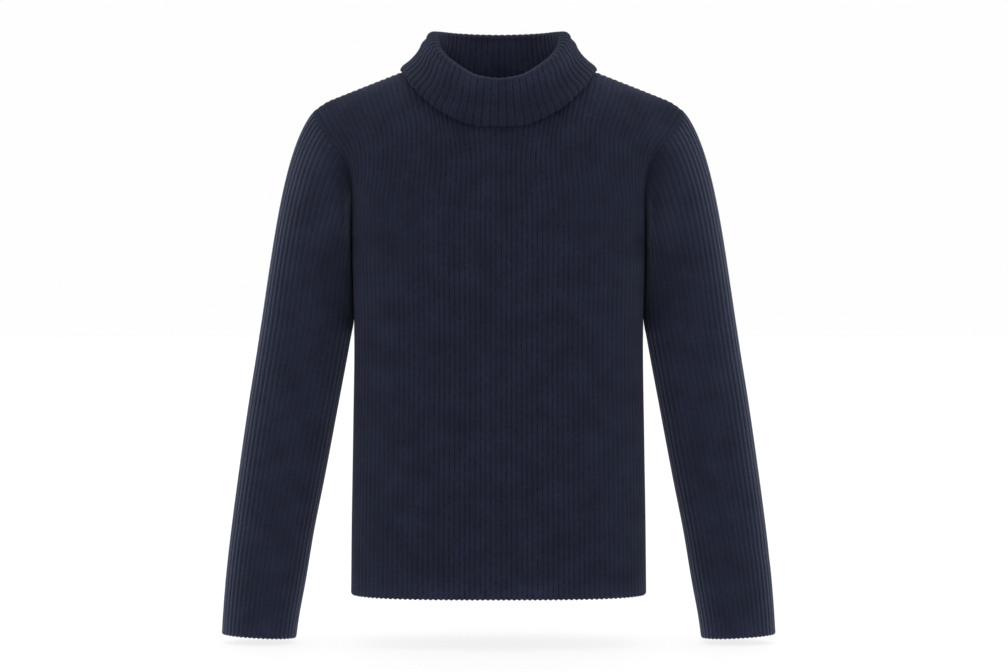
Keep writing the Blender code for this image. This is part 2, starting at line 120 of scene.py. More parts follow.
DepthRow = namedtuple("DepthRow", "z front back")
DEPTH = [
    DepthRow(-0.6410, 0.0920, 0.0885),
    DepthRow(-0.5200, 0.0905, 0.0860),
    DepthRow(-0.3800, 0.0910, 0.0855),
    DepthRow(-0.2600, 0.0940, 0.0885),
    DepthRow(-0.1700, 0.0945, 0.0905),
    DepthRow(-0.1000, 0.0915, 0.0895),
    DepthRow(-0.0400, 0.0875, 0.0865),
    DepthRow(0.0200, 0.0860, 0.0840),
]

# The sleeve under the armpit: tilt is how far its outer side is raised over its middle.
SleeveRow = namedtuple("SleeveRow", "z inner_x outer_x half_depth tilt")
SLEEVE = [
    SleeveRow(-0.3000, 0.1795, 0.2932, 0.0385, 0.0000),
    SleeveRow(-0.3060, 0.1798, 0.2941, 0.0384, 0.0000),
    SleeveRow(-0.3220, 0.1828, 0.2966, 0.0381, 0.0000),
    SleeveRow(-0.3410, 0.1862, 0.2995, 0.0378, 0.0000),
    SleeveRow(-0.4030, 0.1978, 0.3094, 0.0370, 0.0000),
    SleeveRow(-0.5020, 0.2164, 0.3236, 0.0358, 0.0000),
    SleeveRow(-0.5640, 0.2288, 0.3317, 0.0348, 0.0003),
    SleeveRow(-0.6260, 0.2393, 0.3385, 0.0338, 0.0010),
    SleeveRow(-0.6760, 0.2486, 0.3422, 0.0327, 0.0022),
    SleeveRow(-0.6935, 0.2510, 0.3432, 0.0325, 0.0027),
]

# How the sleeve leaves the armhole seam, from the shoulder point (0) round the front to the armpit (1).
LeaveRow = namedtuple("LeaveRow", "loop out forward up")
LEAVE = [
    LeaveRow(0.00, 0.62, 0.00, -0.785),
    LeaveRow(0.20, 0.55, 0.24, -0.78),
    LeaveRow(0.42, 0.42, 0.16, -0.88),
    LeaveRow(0.60, 0.34, 0.09, -0.93),
    LeaveRow(0.80, 0.20, 0.04, -0.98),
    LeaveRow(1.00, 0.00, 0.00, -1.00),
]

# The collar by angle round the neck: 0 is the front, 90 the shoulder and 180 the back.
CollarRow = namedtuple("CollarRow", "angle fold_radius fold_z edge_radius edge_z")
COLLAR = [
    CollarRow(0, 0.0830, -0.0205, 0.0952, -0.0720),
    CollarRow(20, 0.0835, -0.0148, 0.0995, -0.0695),
    CollarRow(40, 0.0830, 0.0000, 0.1110, -0.0530),
    CollarRow(60, 0.0838, 0.0190, 0.1202, -0.0225),
    CollarRow(76, 0.0828, 0.0355, 0.1222, -0.0002),
    CollarRow(90, 0.0820, 0.0455, 0.1222, 0.0065),
    CollarRow(108, 0.0798, 0.0497, 0.1100, 0.0050),
    CollarRow(135, 0.0762, 0.0515, 0.0940, -0.0050),
    CollarRow(160, 0.0732, 0.0520, 0.0860, -0.0085),
    CollarRow(180, 0.0722, 0.0520, 0.0845, -0.0095),
]

# How far out the collar's outer side stands at shares of the way down from the fold to its free edge.
FallRow = namedtuple("FallRow", "down flare")
FALL = [
    FallRow(0.00, 0.000),
    FallRow(0.12, 0.150),
    FallRow(0.31, 0.260),
    FallRow(0.50, 0.415),
    FallRow(0.70, 0.650),
    FallRow(0.88, 0.910),
    FallRow(1.00, 1.000),
]

# Fineness of the shells. Rows stand closer where a piece starts at a seam.
COLUMNS_PER_RIB = 7
COLUMNS_PER_COLLAR_RIB = 8
BODY_ROWS = 44
ARMHOLE_ROWS = 38
CAP_ROWS = 44
SLEEVE_ROWS = 56
STAND_ROWS = 12
FOLD_ROWS = 9
FALL_ROWS = 20
LIP_ROWS = 4
UNDER_SHOULDER = (0.0032, 0.0022, 0.0014, 0.0007)
CAP_START = (0.0, 0.004, 0.008, 0.013, 0.020, 0.030, 0.045)
CAP_EVEN_START = 0.065

# Lengths that the knit is laid out by: the collar's fall and one course of stitches.
FALL_LENGTH = 0.055
COURSE_HEIGHT = 0.00125

# The wall turns into a seam's mitre over four rows or columns. A free edge's lip is fuller on the ridges.
MITRE_SHARES = (1.0, 0.7, 0.4, 0.15)
LIP_IN_VALLEY = 0.4

# Above the underarm the outermost ribs end at the armhole, over a short rise, and higher up the rest fan out.
RIB_LIMIT = 0.993
RIB_LIMIT_RISE = 0.045
FAN_START_Z = -0.185

# The stretch where sleeve and body touch under the arm, and the shade there, which spreads further.
TOUCH_LOW_Z = -0.326
TOUCH_HIGH_Z = -0.190
TOUCH_FADE = 0.016
TOUCH_WIDTH = 0.020
TOUCH_SHADE = 0.78
TOUCH_SHADE_SPREAD = 4.5

# The crease beside the lower half of the armhole, and its shade.
CREASE_HIGH_Z = -0.085
CREASE_LOW_Z = -0.226
CREASE_FADE = 0.040
CREASE_BODY_WIDTH = 0.014
CREASE_SLEEVE_WIDTH = 0.030
CREASE_SHADE = 0.68
CREASE_SHADE_SPREAD = 1.8

# Towards the side seams the ribs are drawn flat, and shade is painted where the cloth turns from the light.
# Beside the shoulder only the given share of that is left.
SIDE_TOP_Z = -0.060
SIDE_FADE = 0.160
SideRow = namedtuple("SideRow", "most width beside_shoulder")
SIDE_PRESS = SideRow(0.90, 0.175, 0.35)
SIDE_SHADE = SideRow(0.50, 0.120, 0.15)

# Painted light along the hem and the cuffs, up the inside of the collar and where its fold turns down.
PAINTED_LIGHT_WIDTH = 0.016
INSIDE_PAINTED_LIGHT = 1.5

# The sleeve's half girth that the fold table's shares are measured on.
SLEEVE_FOLD_SPAN = 0.14

# A row for the flat size and area of a piece's cut. No piece is given one here.
SheetRow = namedtuple("SheetRow", "width height area")

# Long soft troughs and ridges in the cloth. across and down give the middle: on a panel in metres from its
# middle line and under the shoulder line, on a sleeve as a share of the fold span and in metres.
FoldRow = namedtuple("FoldRow", "across down slant length width lift")
FOLDS = {
    "front": [
        FoldRow(-0.166, 0.150, 62, 0.060, 0.009, 0.0016),
        FoldRow(-0.150, 0.178, 48, 0.075, 0.011, -0.0012),
        FoldRow(0.164, 0.158, -58, 0.058, 0.009, 0.0014),
        FoldRow(0.146, 0.190, -42, 0.080, 0.012, -0.0013),
        FoldRow(-0.085, 0.262, 32, 0.085, 0.012, -0.0012),
        FoldRow(-0.030, 0.300, 68, 0.060, 0.013, 0.0010),
        FoldRow(0.072, 0.345, -24, 0.090, 0.015, -0.0010),
        FoldRow(-0.105, 0.430, 12, 0.120, 0.018, -0.0011),
        FoldRow(0.020, 0.520, -10, 0.130, 0.020, -0.0012),
        FoldRow(0.118, 0.475, 18, 0.105, 0.016, 0.0010),
    ],
    "back": [
        FoldRow(0.160, 0.152, -60, 0.062, 0.009, 0.0015),
        FoldRow(-0.158, 0.160, 56, 0.058, 0.010, 0.0013),
        FoldRow(0.140, 0.205, -40, 0.082, 0.012, -0.0012),
        FoldRow(-0.132, 0.196, 44, 0.074, 0.012, -0.0012),
        FoldRow(0.020, 0.255, -14, 0.110, 0.016, -0.0010),
        FoldRow(-0.075, 0.390, 20, 0.100, 0.017, -0.0012),
        FoldRow(0.090, 0.450, -16, 0.120, 0.018, -0.0011),
        FoldRow(-0.020, 0.540, 8, 0.115, 0.020, 0.0010),
    ],
    "sleeve_right": [
        FoldRow(0.62, 0.335, 70, 0.050, 0.008, -0.0013),
        FoldRow(0.48, 0.372, 78, 0.062, 0.009, 0.0012),
        FoldRow(0.70, 0.415, 66, 0.046, 0.008, -0.0012),
        FoldRow(-0.55, 0.350, 74, 0.056, 0.009, -0.0012),
        FoldRow(-0.40, 0.420, 68, 0.050, 0.010, 0.0010),
        FoldRow(0.30, 0.565, 64, 0.048, 0.010, -0.0010),
        FoldRow(-0.25, 0.600, 72, 0.044, 0.010, -0.0009),
    ],
    "sleeve_left": [
        FoldRow(0.58, 0.348, -72, 0.054, 0.008, -0.0013),
        FoldRow(0.44, 0.392, -66, 0.058, 0.010, 0.0011),
        FoldRow(0.72, 0.430, -74, 0.042, 0.008, -0.0012),
        FoldRow(-0.50, 0.362, -70, 0.052, 0.009, -0.0012),
        FoldRow(-0.36, 0.440, -64, 0.048, 0.010, 0.0009),
        FoldRow(0.26, 0.582, -60, 0.050, 0.010, -0.0010),
        FoldRow(-0.30, 0.560, -68, 0.046, 0.010, -0.0009),
    ],
}

# Dye strength of each piece's yarn, and the painted shade in its valleys and on the line between stitch
# columns.
DyeRow = namedtuple("DyeRow", "strength valley_shade wale_line")
# The pieces are one yarn: the sleeves' stronger and the collar's weaker dye are painted light and painted
# shade.
BODY_DYE = DyeRow(1.20, 1.0, 0.5)
SLEEVE_DYE = DyeRow(1.24, 0.7, 0.9)
COLLAR_DYE = DyeRow(1.04, 0.9, 0.7)

# Grain of the yarn: noises over the cloth, for each metre, and along the ribs, for each rib and course.
FIBRE_SCALE = 800.0
CLOUD_SCALE = 34.0
ALONG_RIBS = (1.3, 0.22, 1.0)
SLUB_SCALE = 1.0
THICK_SCALE = 2.3

# How far each grain spreads the dye about its middle strength, and how the slubs vary the painted shade in
# the valleys.
CLOUD_SPREAD = 1.50
THICK_SPREAD = 1.3
FIBRE_SPREAD = 0.6
SLUB_START = -0.35
SLUB_RISE = 2.05

# How far painted shade darkens the dye between stitches and stitch columns, in the crease, under the arm,
# towards the side seams and where the ribs are pressed, and how far painted light brightens it.
STITCH_SHADE = 0.22
WALE_SHADE = 0.1
PAINTED_LIGHT_GAIN = 0.6
PAINTED_SHADE_DARKENING = 0.4
PRESS_SHADE = 0.13

# Where on a rib, from 0 in the valley to 1 on the ridge, its parts start, and how fast they rise from there.
VALLEY_RISE = 1.7
WALE_START = 0.75
WALE_RISE = 4.0
GROOVE_START = 0.7
GROOVE_RISE = 3.3
RIDGE_START = 0.42
RIDGE_RISE = 6.0

# Stitches: legs of the V on each rib, how they slant and narrow, and the height of the bars in the valleys.
LEGS_PER_RIB = 4
LEG_SLANT = 0.9
LEG_NARROWING = 1.4
BAR_HEIGHT = 0.7
FIBRE_RELIEF = 0.5
BUMP_STRENGTH = 0.9

# The base colour, dye with its painted light and shade, runs between these multiples of the yarn's colour.
DARK_DYE = 0.35
BRIGHT_DYE = 1.55
DYE_MIDDLE = 0.62

# The camera stands level in front. The lamps are broad and face a point in the middle of the body.
CAMERA_PLACE = (0.0066, -2.8, -0.3236)
CAMERA_LENS = 80.6
CAMERA_SENSOR = 36
CAMERA_RANGE = (0.1, 1000)
FLOOR_RADIUS = 600
FLOOR_ROUGHNESS = 0.8
LIT_POINT = (0.0, 0.0, -0.3)
LampRow = namedtuple("LampRow", "name place size")
LAMPS = [
    LampRow("overhead", (0.0, -0.6, 2.2), 3.0),
    LampRow("left_side", (-2.6, 0.9, 0.4), 1.6),
    LampRow("right_side", (2.6, 0.9, 0.4), 1.6),
]


def smooth(x, xs, ys):
    """A smooth curve through the points of a table."""
    xs, ys = np.asarray(xs, float), np.asarray(ys, float)
    slopes = np.gradient(ys, xs)
    x = np.clip(x, xs[0], xs[-1])
    i = np.clip(np.searchsorted(xs, x) - 1, 0, len(xs) - 2)
    h = xs[i + 1] - xs[i]
    t = (x - xs[i]) / h
    start = ys[i] * (1 + 2 * t) * (1 - t) ** 2 + ys[i + 1] * t * t * (3 - 2 * t)
    return start + h * (slopes[i] * t * (1 - t) ** 2 + slopes[i + 1] * t * t * (t - 1))


def column(table, x, key, by="z"):
    """One named column of a table, read smoothly at x."""
    return smooth(x, [getattr(row, by) for row in table], [getattr(row, key) for row in table])


def half_ring(exponent, aspect, samples=4001):
    """Half a rounded oval from x = -1 to x = 1: x and depth against the share of its length."""
    angle = np.linspace(np.pi, 0, samples)
    x = np.sign(np.cos(angle)) * np.abs(np.cos(angle)) ** (2 / exponent)
    depth = np.sin(angle).clip(0) ** (2 / exponent)
    length = np.concatenate([[0], np.cumsum(np.hypot(np.diff(x), aspect * np.diff(depth)))])
    return length / length[-1], x, depth


BODY_RING = half_ring(BODY_EXPONENT, BODY_ASPECT)
SLEEVE_RING = half_ring(SLEEVE_EXPONENT, SLEEVE_ASPECT)


def ease(t):
    t = np.clip(t, 0, 1)
    return t * t * (3 - 2 * t)


def unit(v):
    return v / np.linalg.norm(v, axis=-1, keepdims=True)


def way_along(points, axis=0):
    """How far each point is along its row or column."""
    steps = np.cumsum(np.linalg.norm(np.diff(points, axis=axis), axis=-1), axis=axis)
    return np.insert(steps, 0, 0, axis=axis)


def shoulder_line(x):
    """Height of the shoulder seam: straight from the neck, then bent down over the shoulder point."""
    inside = SHOULDER_POINT_X - np.abs(x)
    bend = np.clip(1 - inside / SHOULDER_TIP_WIDTH, 0, 1) ** SHOULDER_TIP_POWER
    return SHOULDER_POINT_Z + inside * SHOULDER_SLOPE + SHOULDER_TIP_DROP * (1 - bend)


def top_edge(x, front):
    """Height of the panel's upper edge: neckline in the middle, shoulder seam outside it."""
    drop = NECK_DROP_FRONT if front else NECK_DROP_BACK
    share = np.minimum(np.abs(x) / NECK_HALF_WIDTH, 1)
    neckline = shoulder_line(NECK_HALF_WIDTH) - drop * (1 - share**NECK_CURVE_POWER)
    return np.where(np.abs(x) < NECK_HALF_WIDTH, neckline, shoulder_line(x))


def body_depth(x, z, front):
    """How far the body stands forward (or back) of the plane of its seams."""
    roundness = column(EDGE, z, "roundness")
    across = np.minimum(np.abs(x) / column(EDGE, z, "half_width"), 1)
    below = np.clip((shoulder_line(x) - z) / SHOULDER_ROUNDING, 0, 1)
    depth = column(DEPTH, z, "front" if front else "back")
    return depth * (1 - across**roundness) ** (1 / roundness) * np.sqrt(1 - (1 - below) ** 2)


def panel_point(u, row_z, front):
    """A point of the front or back: u is -1 and 1 on the side edges, where the row's height is row_z."""
    u, row_z = np.broadcast_arrays(np.asarray(u, float), np.asarray(row_z, float))
    edge_x = column(EDGE, row_z, "edge_x")
    share, ring_x, _ = BODY_RING
    even = np.interp(0.5 + 0.5 * u, share, ring_x)
    rise = np.clip((row_z - UNDERARM_Z) / (SHOULDER_POINT_Z - UNDERARM_Z), 0, 1)
    x = edge_x * (even + (u - even) * rise**2)
    z = row_z + rise * (top_edge(SHOULDER_POINT_X * u, front) - SHOULDER_POINT_Z)
    depth = body_depth(x, z, front) + SEAM_GAP / 2
    return np.stack([x, -depth if front else depth, z], axis=-1)


def surface_normal(point, a, b, a_range, b_range, step=1e-3):
    """The outward normal of point(a, b), by small steps kept inside the ranges."""
    a_step, b_step = step * (a_range[1] - a_range[0]), step * (b_range[1] - b_range[0])
    a0, a1 = np.clip(a - a_step, *a_range), np.clip(a + a_step, *a_range)
    b0, b1 = np.clip(b - b_step, *b_range), np.clip(b + b_step, *b_range)
    return unit(np.cross(point(a1, b) - point(a0, b), point(a, b1) - point(a, b0)))


HEM_Z = EDGE[0].z


def panel_normal(u, row_z, front):
    """Outward normal of a panel. At a seam it stays in the seam's plane, so both walls end face to face."""
    u, row_z = np.broadcast_arrays(np.asarray(u, float), np.asarray(row_z, float))
    heights = (HEM_Z, SHOULDER_POINT_Z)
    normal = surface_normal(lambda a, b: panel_point(a, b, front), u, row_z, (-1, 1), heights)
    if not front:
        normal = -normal
    on_side_seam = (np.abs(u) > 1 - 1e-9) & (row_z < UNDERARM_Z + 1e-9)
    on_shoulder = (row_z > SHOULDER_POINT_Z - 1e-9) & (np.abs(u) * SHOULDER_POINT_X >= NECK_HALF_WIDTH)
    normal[on_side_seam | on_shoulder, 1] = 0
    return unit(normal)


class Armhole:
    """The seam between the body and one sleeve."""

    def __init__(self, side):
        self.side = side
        self.heights = np.linspace(SHOULDER_POINT_Z, UNDERARM_Z, ARMHOLE_ROWS + 1)
        self.points, self.body_normals = {}, {}
        for front in (True, False):
            u = np.full(len(self.heights), float(side))
            self.points[front] = panel_point(u, self.heights, front)
            self.body_normals[front] = panel_normal(u, self.heights, front)
        self.shares = {front: self.share_along(points) for front, points in self.points.items()}
        self.sleeve_normals = {front: self.seam_sleeve_normal(front) for front in (True, False)}

    @staticmethod
    def share_along(points):
        length = way_along(points)
        return length / length[-1]

    def read(self, loop, front, rows):
        """A table of rows down the seam, read at shares of its length."""
        shares = self.shares[front]
        return np.stack([np.interp(loop, shares, rows[:, k]) for k in range(3)], axis=-1)

    def start(self, loop, front):
        """Where the sleeve starts, just clear of the body. The middle lines lie on the plane of the seams."""
        point = self.read(loop, front, self.points[front])
        on_plane = (loop < 1e-9) | (loop > 1 - 1e-9)
        point[..., 1] = np.where(on_plane, 0, point[..., 1])
        point[..., 0] += self.side * ARMHOLE_CLEARANCE
        return point

    def seam_sleeve_normal(self, front):
        ribs = rib_share_of_loop(self.shares[front])
        signed = ribs if front else -ribs
        return sleeve_normal(self, signed, np.zeros_like(signed))

    def wall_normal(self, loop, front, own, other):
        """One shared mitre where the cloth bends gently. Where it folds back, each wall keeps its own."""
        agreement = np.sum(own[front] * other[front], axis=-1, keepdims=True)
        shared = unit(own[front] + ease((agreement - MITRE_START) / MITRE_RANGE) * other[front])
        return self.read(loop, front, shared)

    def body_wall_normal(self, front):
        return self.wall_normal(self.shares[front], front, self.body_normals, self.sleeve_normals)

    def sleeve_wall_normal(self, loop, front):
        return self.wall_normal(loop, front, self.sleeve_normals, self.body_normals)


def loop_share_of_rib(rib):
    """Where a rib starts on the armhole seam. Ribs lie closer at the shoulder than under the arm."""
    return ARMHOLE_EVEN_SHARE * rib + (1 - ARMHOLE_EVEN_SHARE) * rib**ARMHOLE_CROWDING


def rib_share_of_loop(loop):
    ribs = np.linspace(0, 1, 401)
    return np.interp(loop, loop_share_of_rib(ribs), ribs)


def sleeve_ring(side, ribs, z):
    """The sleeve under the armpit. ribs is 0 on its outer line, and -1 and 1 on its inner one, round the back
    and the front."""
    share, ring_x, ring_depth = SLEEVE_RING
    across = np.interp(1 - np.abs(ribs), share, ring_x)
    inner, outer = column(SLEEVE[::-1], z, "inner_x"), column(SLEEVE[::-1], z, "outer_x")
    x = (inner + outer) / 2 + across * (outer - inner) / 2
    depth = column(SLEEVE[::-1], z, "half_depth") * np.interp(1 - np.abs(ribs), share, ring_depth)
    height = z + across * column(SLEEVE[::-1], z, "tilt")
    return np.stack([side * x, -np.sign(ribs) * depth, height], axis=-1)


def sleeve_cap(armhole, ribs, step):
    """The sleeve from the armhole seam (step 0) down to its first full ring (step 1)."""
    loop = loop_share_of_rib(np.abs(ribs))
    forward = ribs > 0
    start = np.where(forward[..., None], armhole.start(loop, True), armhole.start(loop, False))
    top_z, just_under = SLEEVE[0].z, SLEEVE[0].z - 0.002
    end = sleeve_ring(armhole.side, ribs, np.full_like(ribs, top_z))
    fall = unit(sleeve_ring(armhole.side, ribs, np.full_like(ribs, just_under)) - end)
    leave = [column(LEAVE, loop, key, "loop") for key in ("out", "forward", "up")]
    leave = unit(np.stack([armhole.side * leave[0], -np.sign(ribs) * leave[1], leave[2]], axis=-1))
    start = start + leave * SLEEVE_SETBACK
    reach = np.linalg.norm(end - start, axis=-1, keepdims=True)
    first = start + leave * reach * SLEEVE_START_REACH
    second = end - fall * reach * SLEEVE_END_REACH
    t = step[..., None]
    return start * (1 - t) ** 3 + 3 * first * t * (1 - t) ** 2 + 3 * second * t * t * (1 - t) + end * t**3


def sleeve_point(armhole, ribs, along):
    """A point of the sleeve: along is 0 at the armhole, 1 at the first full ring and 2 at the cuff."""
    ribs, along = np.broadcast_arrays(np.asarray(ribs, float), np.asarray(along, float))
    z = SLEEVE[0].z + np.clip(along - 1, 0, 1) * (SLEEVE[-1].z - SLEEVE[0].z)
    lower = sleeve_ring(armhole.side, ribs, z)
    upper = sleeve_cap(armhole, ribs, np.clip(along, 0, 1))
    return np.where((along <= 1)[..., None], upper, lower)


def sleeve_normal(armhole, ribs, along):
    """Outward normal of the sleeve, in the plane of the seams on its outer and inner lines."""
    ribs, along = np.broadcast_arrays(np.asarray(ribs, float), np.asarray(along, float))
    normal = surface_normal(lambda a, b: sleeve_point(armhole, a, b), ribs, along, (-1, 1), (0, 2))
    normal[(np.abs(ribs) < 1e-9) | (np.abs(ribs) > 1 - 1e-9), 1] = 0
    return armhole.side * unit(normal)


def neckline(front, rib_depth, samples=201):
    """The collar's foot on one panel: its outer line, by angle round the neck."""
    u = np.linspace(0, NECK_HALF_WIDTH / SHOULDER_POINT_X, samples)
    point = panel_point(u, SHOULDER_POINT_Z, front)
    normal = panel_normal(u, np.full_like(u, SHOULDER_POINT_Z), front)
    upward = unit(np.cross(normal, np.gradient(point, axis=0)))
    upward *= np.sign(upward[:, 2:])
    foot = point - normal * rib_depth + upward * COLLAR_SEAM_GAP
    foot[-1, 1] = 0
    angle = np.degrees(np.arctan2(foot[:, 0].clip(0), -foot[:, 1]))
    return angle, np.hypot(foot[:, 0], foot[:, 1]), foot[:, 2]


class Collar:
    """The collar's visible face: up the inside of the neck, over the fold and down the outside."""

    def __init__(self, rib_depth, thickness):
        self.wall = rib_depth + thickness
        front, back = neckline(True, rib_depth), neckline(False, rib_depth)
        self.foot = [np.concatenate([a, b[-2::-1]]) for a, b in zip(front, back)]

    def profile(self, angle, along):
        """Radius and height: along is 0 to 1 up the inside, to 2 over the fold and to 3 down the outside."""
        turn = np.degrees(np.abs(angle))
        near_front = np.exp(-((turn / FRONT_ROUNDING / 2) ** 2))
        turn = np.hypot(turn, FRONT_ROUNDING) - FRONT_ROUNDING * near_front
        fold_r, fold_z = (column(COLLAR, turn, key, "angle") for key in ("fold_radius", "fold_z"))
        edge_r, edge_z = (column(COLLAR, turn, key, "angle") for key in ("edge_radius", "edge_z"))
        foot_r = np.interp(turn, self.foot[0], self.foot[1]) - self.wall
        foot_z = np.interp(turn, self.foot[0], self.foot[2])
        up = np.clip(along, 0, 1)
        inside = (foot_r + (fold_r - FOLD_RADIUS - foot_r) * ease(up), foot_z + (fold_z - foot_z) * up)
        over = np.pi * (1 - np.clip(along - 1, 0, 1))
        crown = (fold_r + FOLD_RADIUS * np.cos(over), fold_z + FOLD_RADIUS * np.sin(over))
        down = np.clip(along - 2, 0, 1)
        flare = column(FALL, down, "flare", "down")
        outside = (
            fold_r + FOLD_RADIUS + (edge_r - fold_r - FOLD_RADIUS) * flare,
            fold_z + (edge_z - fold_z) * down,
        )
        stretches = zip(inside, crown, outside)
        return [np.where(along <= 1, a, np.where(along <= 2, b, c)) for a, b, c in stretches]

    def point(self, angle, along):
        angle, along = np.broadcast_arrays(np.asarray(angle, float), np.asarray(along, float))
        radius, z = self.profile((angle + np.pi) % (2 * np.pi) - np.pi, along)
        return np.stack([radius * np.sin(angle), -radius * np.cos(angle), z], axis=-1)

    def even_angles(self, share, along):
        """The angles that part a row into equal lengths: share is 0 in the front and -1 or 1 in the back."""
        turn = np.linspace(0, np.pi, 181)
        length = way_along(self.point(turn, along))
        return np.sign(share) * np.interp(np.abs(share), length / length[-1], turn)

    def normal(self, angle, along):
        """Normal of the visible face, away from the cloth. Joins of stretches take the mean of both sides."""
        step = 1e-3
        angle, along = np.broadcast_arrays(np.asarray(angle, float), np.asarray(along, float))
        before, after = np.clip(along - step, 0, 3), np.clip(along + step, 0, 3)
        lengthwise = unit(self.point(angle, after) - self.point(angle, before))
        around = self.point(angle + step, along) - self.point(angle - step, along)
        return unit(np.cross(lengthwise, around))


class Socket:
    """A value in a node tree. Arithmetic on it adds Math nodes."""

    def __init__(self, nodes, link):
        self.nodes, self.link = nodes, link

    def _math(self, operation, *values, clamp=False):
        settings = {"operation": operation, "use_clamp": clamp}
        return self.nodes.add("ShaderNodeMath", settings, dict(enumerate(values)))

    def __add__(self, other):
        return self._math("ADD", self, other)

    def __radd__(self, other):
        return self._math("ADD", other, self)

    def __sub__(self, other):
        return self._math("SUBTRACT", self, other)

    def __rsub__(self, other):
        return self._math("SUBTRACT", other, self)

    def __mul__(self, other):
        return self._math("MULTIPLY", self, other)

    def __rmul__(self, other):
        return self._math("MULTIPLY", other, self)

    def __pow__(self, other):
        return self._math("POWER", self, other)

    def __abs__(self):
        return self._math("ABSOLUTE", self)

    def fract(self):
        return self._math("FRACT", self)

    def cosine(self):
        return self._math("COSINE", self)

    def clamped(self):
        return self._math("ADD", self, 0.0, clamp=True)

    def ridge(self):
        """1 on the middle of each whole step of this value, and 0 where the step starts and ends."""
        return 1 - abs(self.fract() - 0.5) * 2


class Nodes:
    """Adds nodes to a tree: type, settings, then the values or links of the sockets, by name or number."""

    def __init__(self, tree):
        self.tree = tree

    def add(self, kind, settings=None, inputs=None, out=0):
        node = self.tree.nodes.new(kind)
        for key, value in (settings or {}).items():
            setattr(node, key, value)
        for key, value in (inputs or {}).items():
            if isinstance(value, Socket):
                self.tree.links.new(value.link, node.inputs[key])
            else:
                node.inputs[key].default_value = value
        return Socket(self, node.outputs[out])

    def place(self):
        """The object's own coordinates, in a material."""
        return self.add("ShaderNodeTexCoord", None, None, out=3)

    def mark(self, name):
        """A mark of the shell's points, in a material."""
        return self.add("ShaderNodeAttribute", {"attribute_name": name}, None, out=2)

    def noise(self, place, scale, detail):
        return self.add("ShaderNodeTexNoise", None, {"Vector": place, "Scale": scale, "Detail": detail})


def rib_relief_tree():
    """Lowers each point under the outline: nothing on a ridge, the rib depth in a valley unless the cloth is
    pressed flat there, and the wall on the inside."""
    tree = bpy.data.node_groups.new("rib_relief", "GeometryNodeTree")
    face = tree.interface
    face.new_socket(name="Cloth", in_out="OUTPUT", socket_type="NodeSocketGeometry")
    face.new_socket(name="Cloth", in_out="INPUT", socket_type="NodeSocketGeometry")
    sizes = {"Rib Depth": 0.0010, "Ridge Fullness": 0.55, "Wale Groove": 0.0, "Wall Thickness": 0.0022}
    for name, value in sizes.items():
        socket = face.new_socket(name=name, in_out="INPUT", socket_type="NodeSocketFloat")
        socket.default_value = value
    face.new_socket(name="Yarn", in_out="INPUT", socket_type="NodeSocketMaterial")
    nodes = Nodes(tree)
    start = tree.nodes.new("NodeGroupInput")
    given = {name: Socket(nodes, start.outputs[name]) for name in ("Cloth", "Yarn", *sizes)}

    def attribute(name, kind="FLOAT"):
        return nodes.add("GeometryNodeInputNamedAttribute", {"data_type": kind}, {"Name": name})

    ridge = attribute("rib").ridge()
    round_top = (0.5 - (ridge * np.pi).cosine() * 0.5) ** given["Ridge Fullness"]
    wale = ((ridge - GROOVE_START) * GROOVE_RISE).clamped() * given["Wale Groove"]
    wall = attribute("wall")
    outer = (given["Rib Depth"] * (1 - round_top) + wale) * (1 - attribute("press"))
    depth = outer * (1 - wall) + (given["Rib Depth"] + given["Wall Thickness"]) * wall + attribute("dip")
    offset = nodes.add(
        "ShaderNodeVectorMath",
        {"operation": "SCALE"},
        {0: attribute("outward", "FLOAT_VECTOR"), "Scale": 0 - depth},
    )
    moved = nodes.add("GeometryNodeSetPosition", None, {"Geometry": given["Cloth"], "Offset": offset})
    rounded = nodes.add("GeometryNodeSetShadeSmooth", None, {"Geometry": moved})
    real = nodes.add("GeometryNodeRealizeInstances", None, {"Geometry": rounded})
    yarn = nodes.add("GeometryNodeSetMaterial", None, {"Geometry": real, "Material": given["Yarn"]})
    end = tree.nodes.new("NodeGroupOutput")
    tree.links.new(yarn.link, end.inputs["Cloth"])
    return tree


def through_tree(obj, tree, values):
    """Puts an object's mesh through a geometry tree and keeps the result as its plain mesh."""
    modifier = obj.modifiers.new("making", "NODES")
    modifier.node_group = tree
    sockets = {s.name: s.identifier for s in tree.interface.items_tree if s.in_out == "INPUT"}
    for name, value in values.items():
        modifier[sockets[name]] = value
    graph = bpy.context.evaluated_depsgraph_get()
    mesh = bpy.data.meshes.new_from_object(obj.evaluated_get(graph), depsgraph=graph)
    obj.modifiers.remove(modifier)
    old, obj.data = obj.data, mesh
    bpy.data.meshes.remove(old)
    mesh.name = obj.name
    if not len(mesh.polygons):
        raise RuntimeError(f"{obj.name} came out empty")


def edge_lip(points, ribs, wall, end):
    """Rows that round the cloth's free edge: they swing from the outer face to the inner one past the last
    row, and further on the ridges than in the valleys."""
    before = points[-2] if end else points[1]
    last = points[-1] if end else points[0]
    onward = unit(last - before)
    steps = (np.arange(LIP_ROWS) + 1) / (LIP_ROWS + 1)
    ridge = 1 - np.abs(ribs[: len(last)] % 1 - 0.5) * 2
    bulge = 0.5 * wall * np.sin(np.pi * steps)[:, None, None] * (LIP_IN_VALLEY + ridge)[:, None]
    return last + onward * bulge, steps


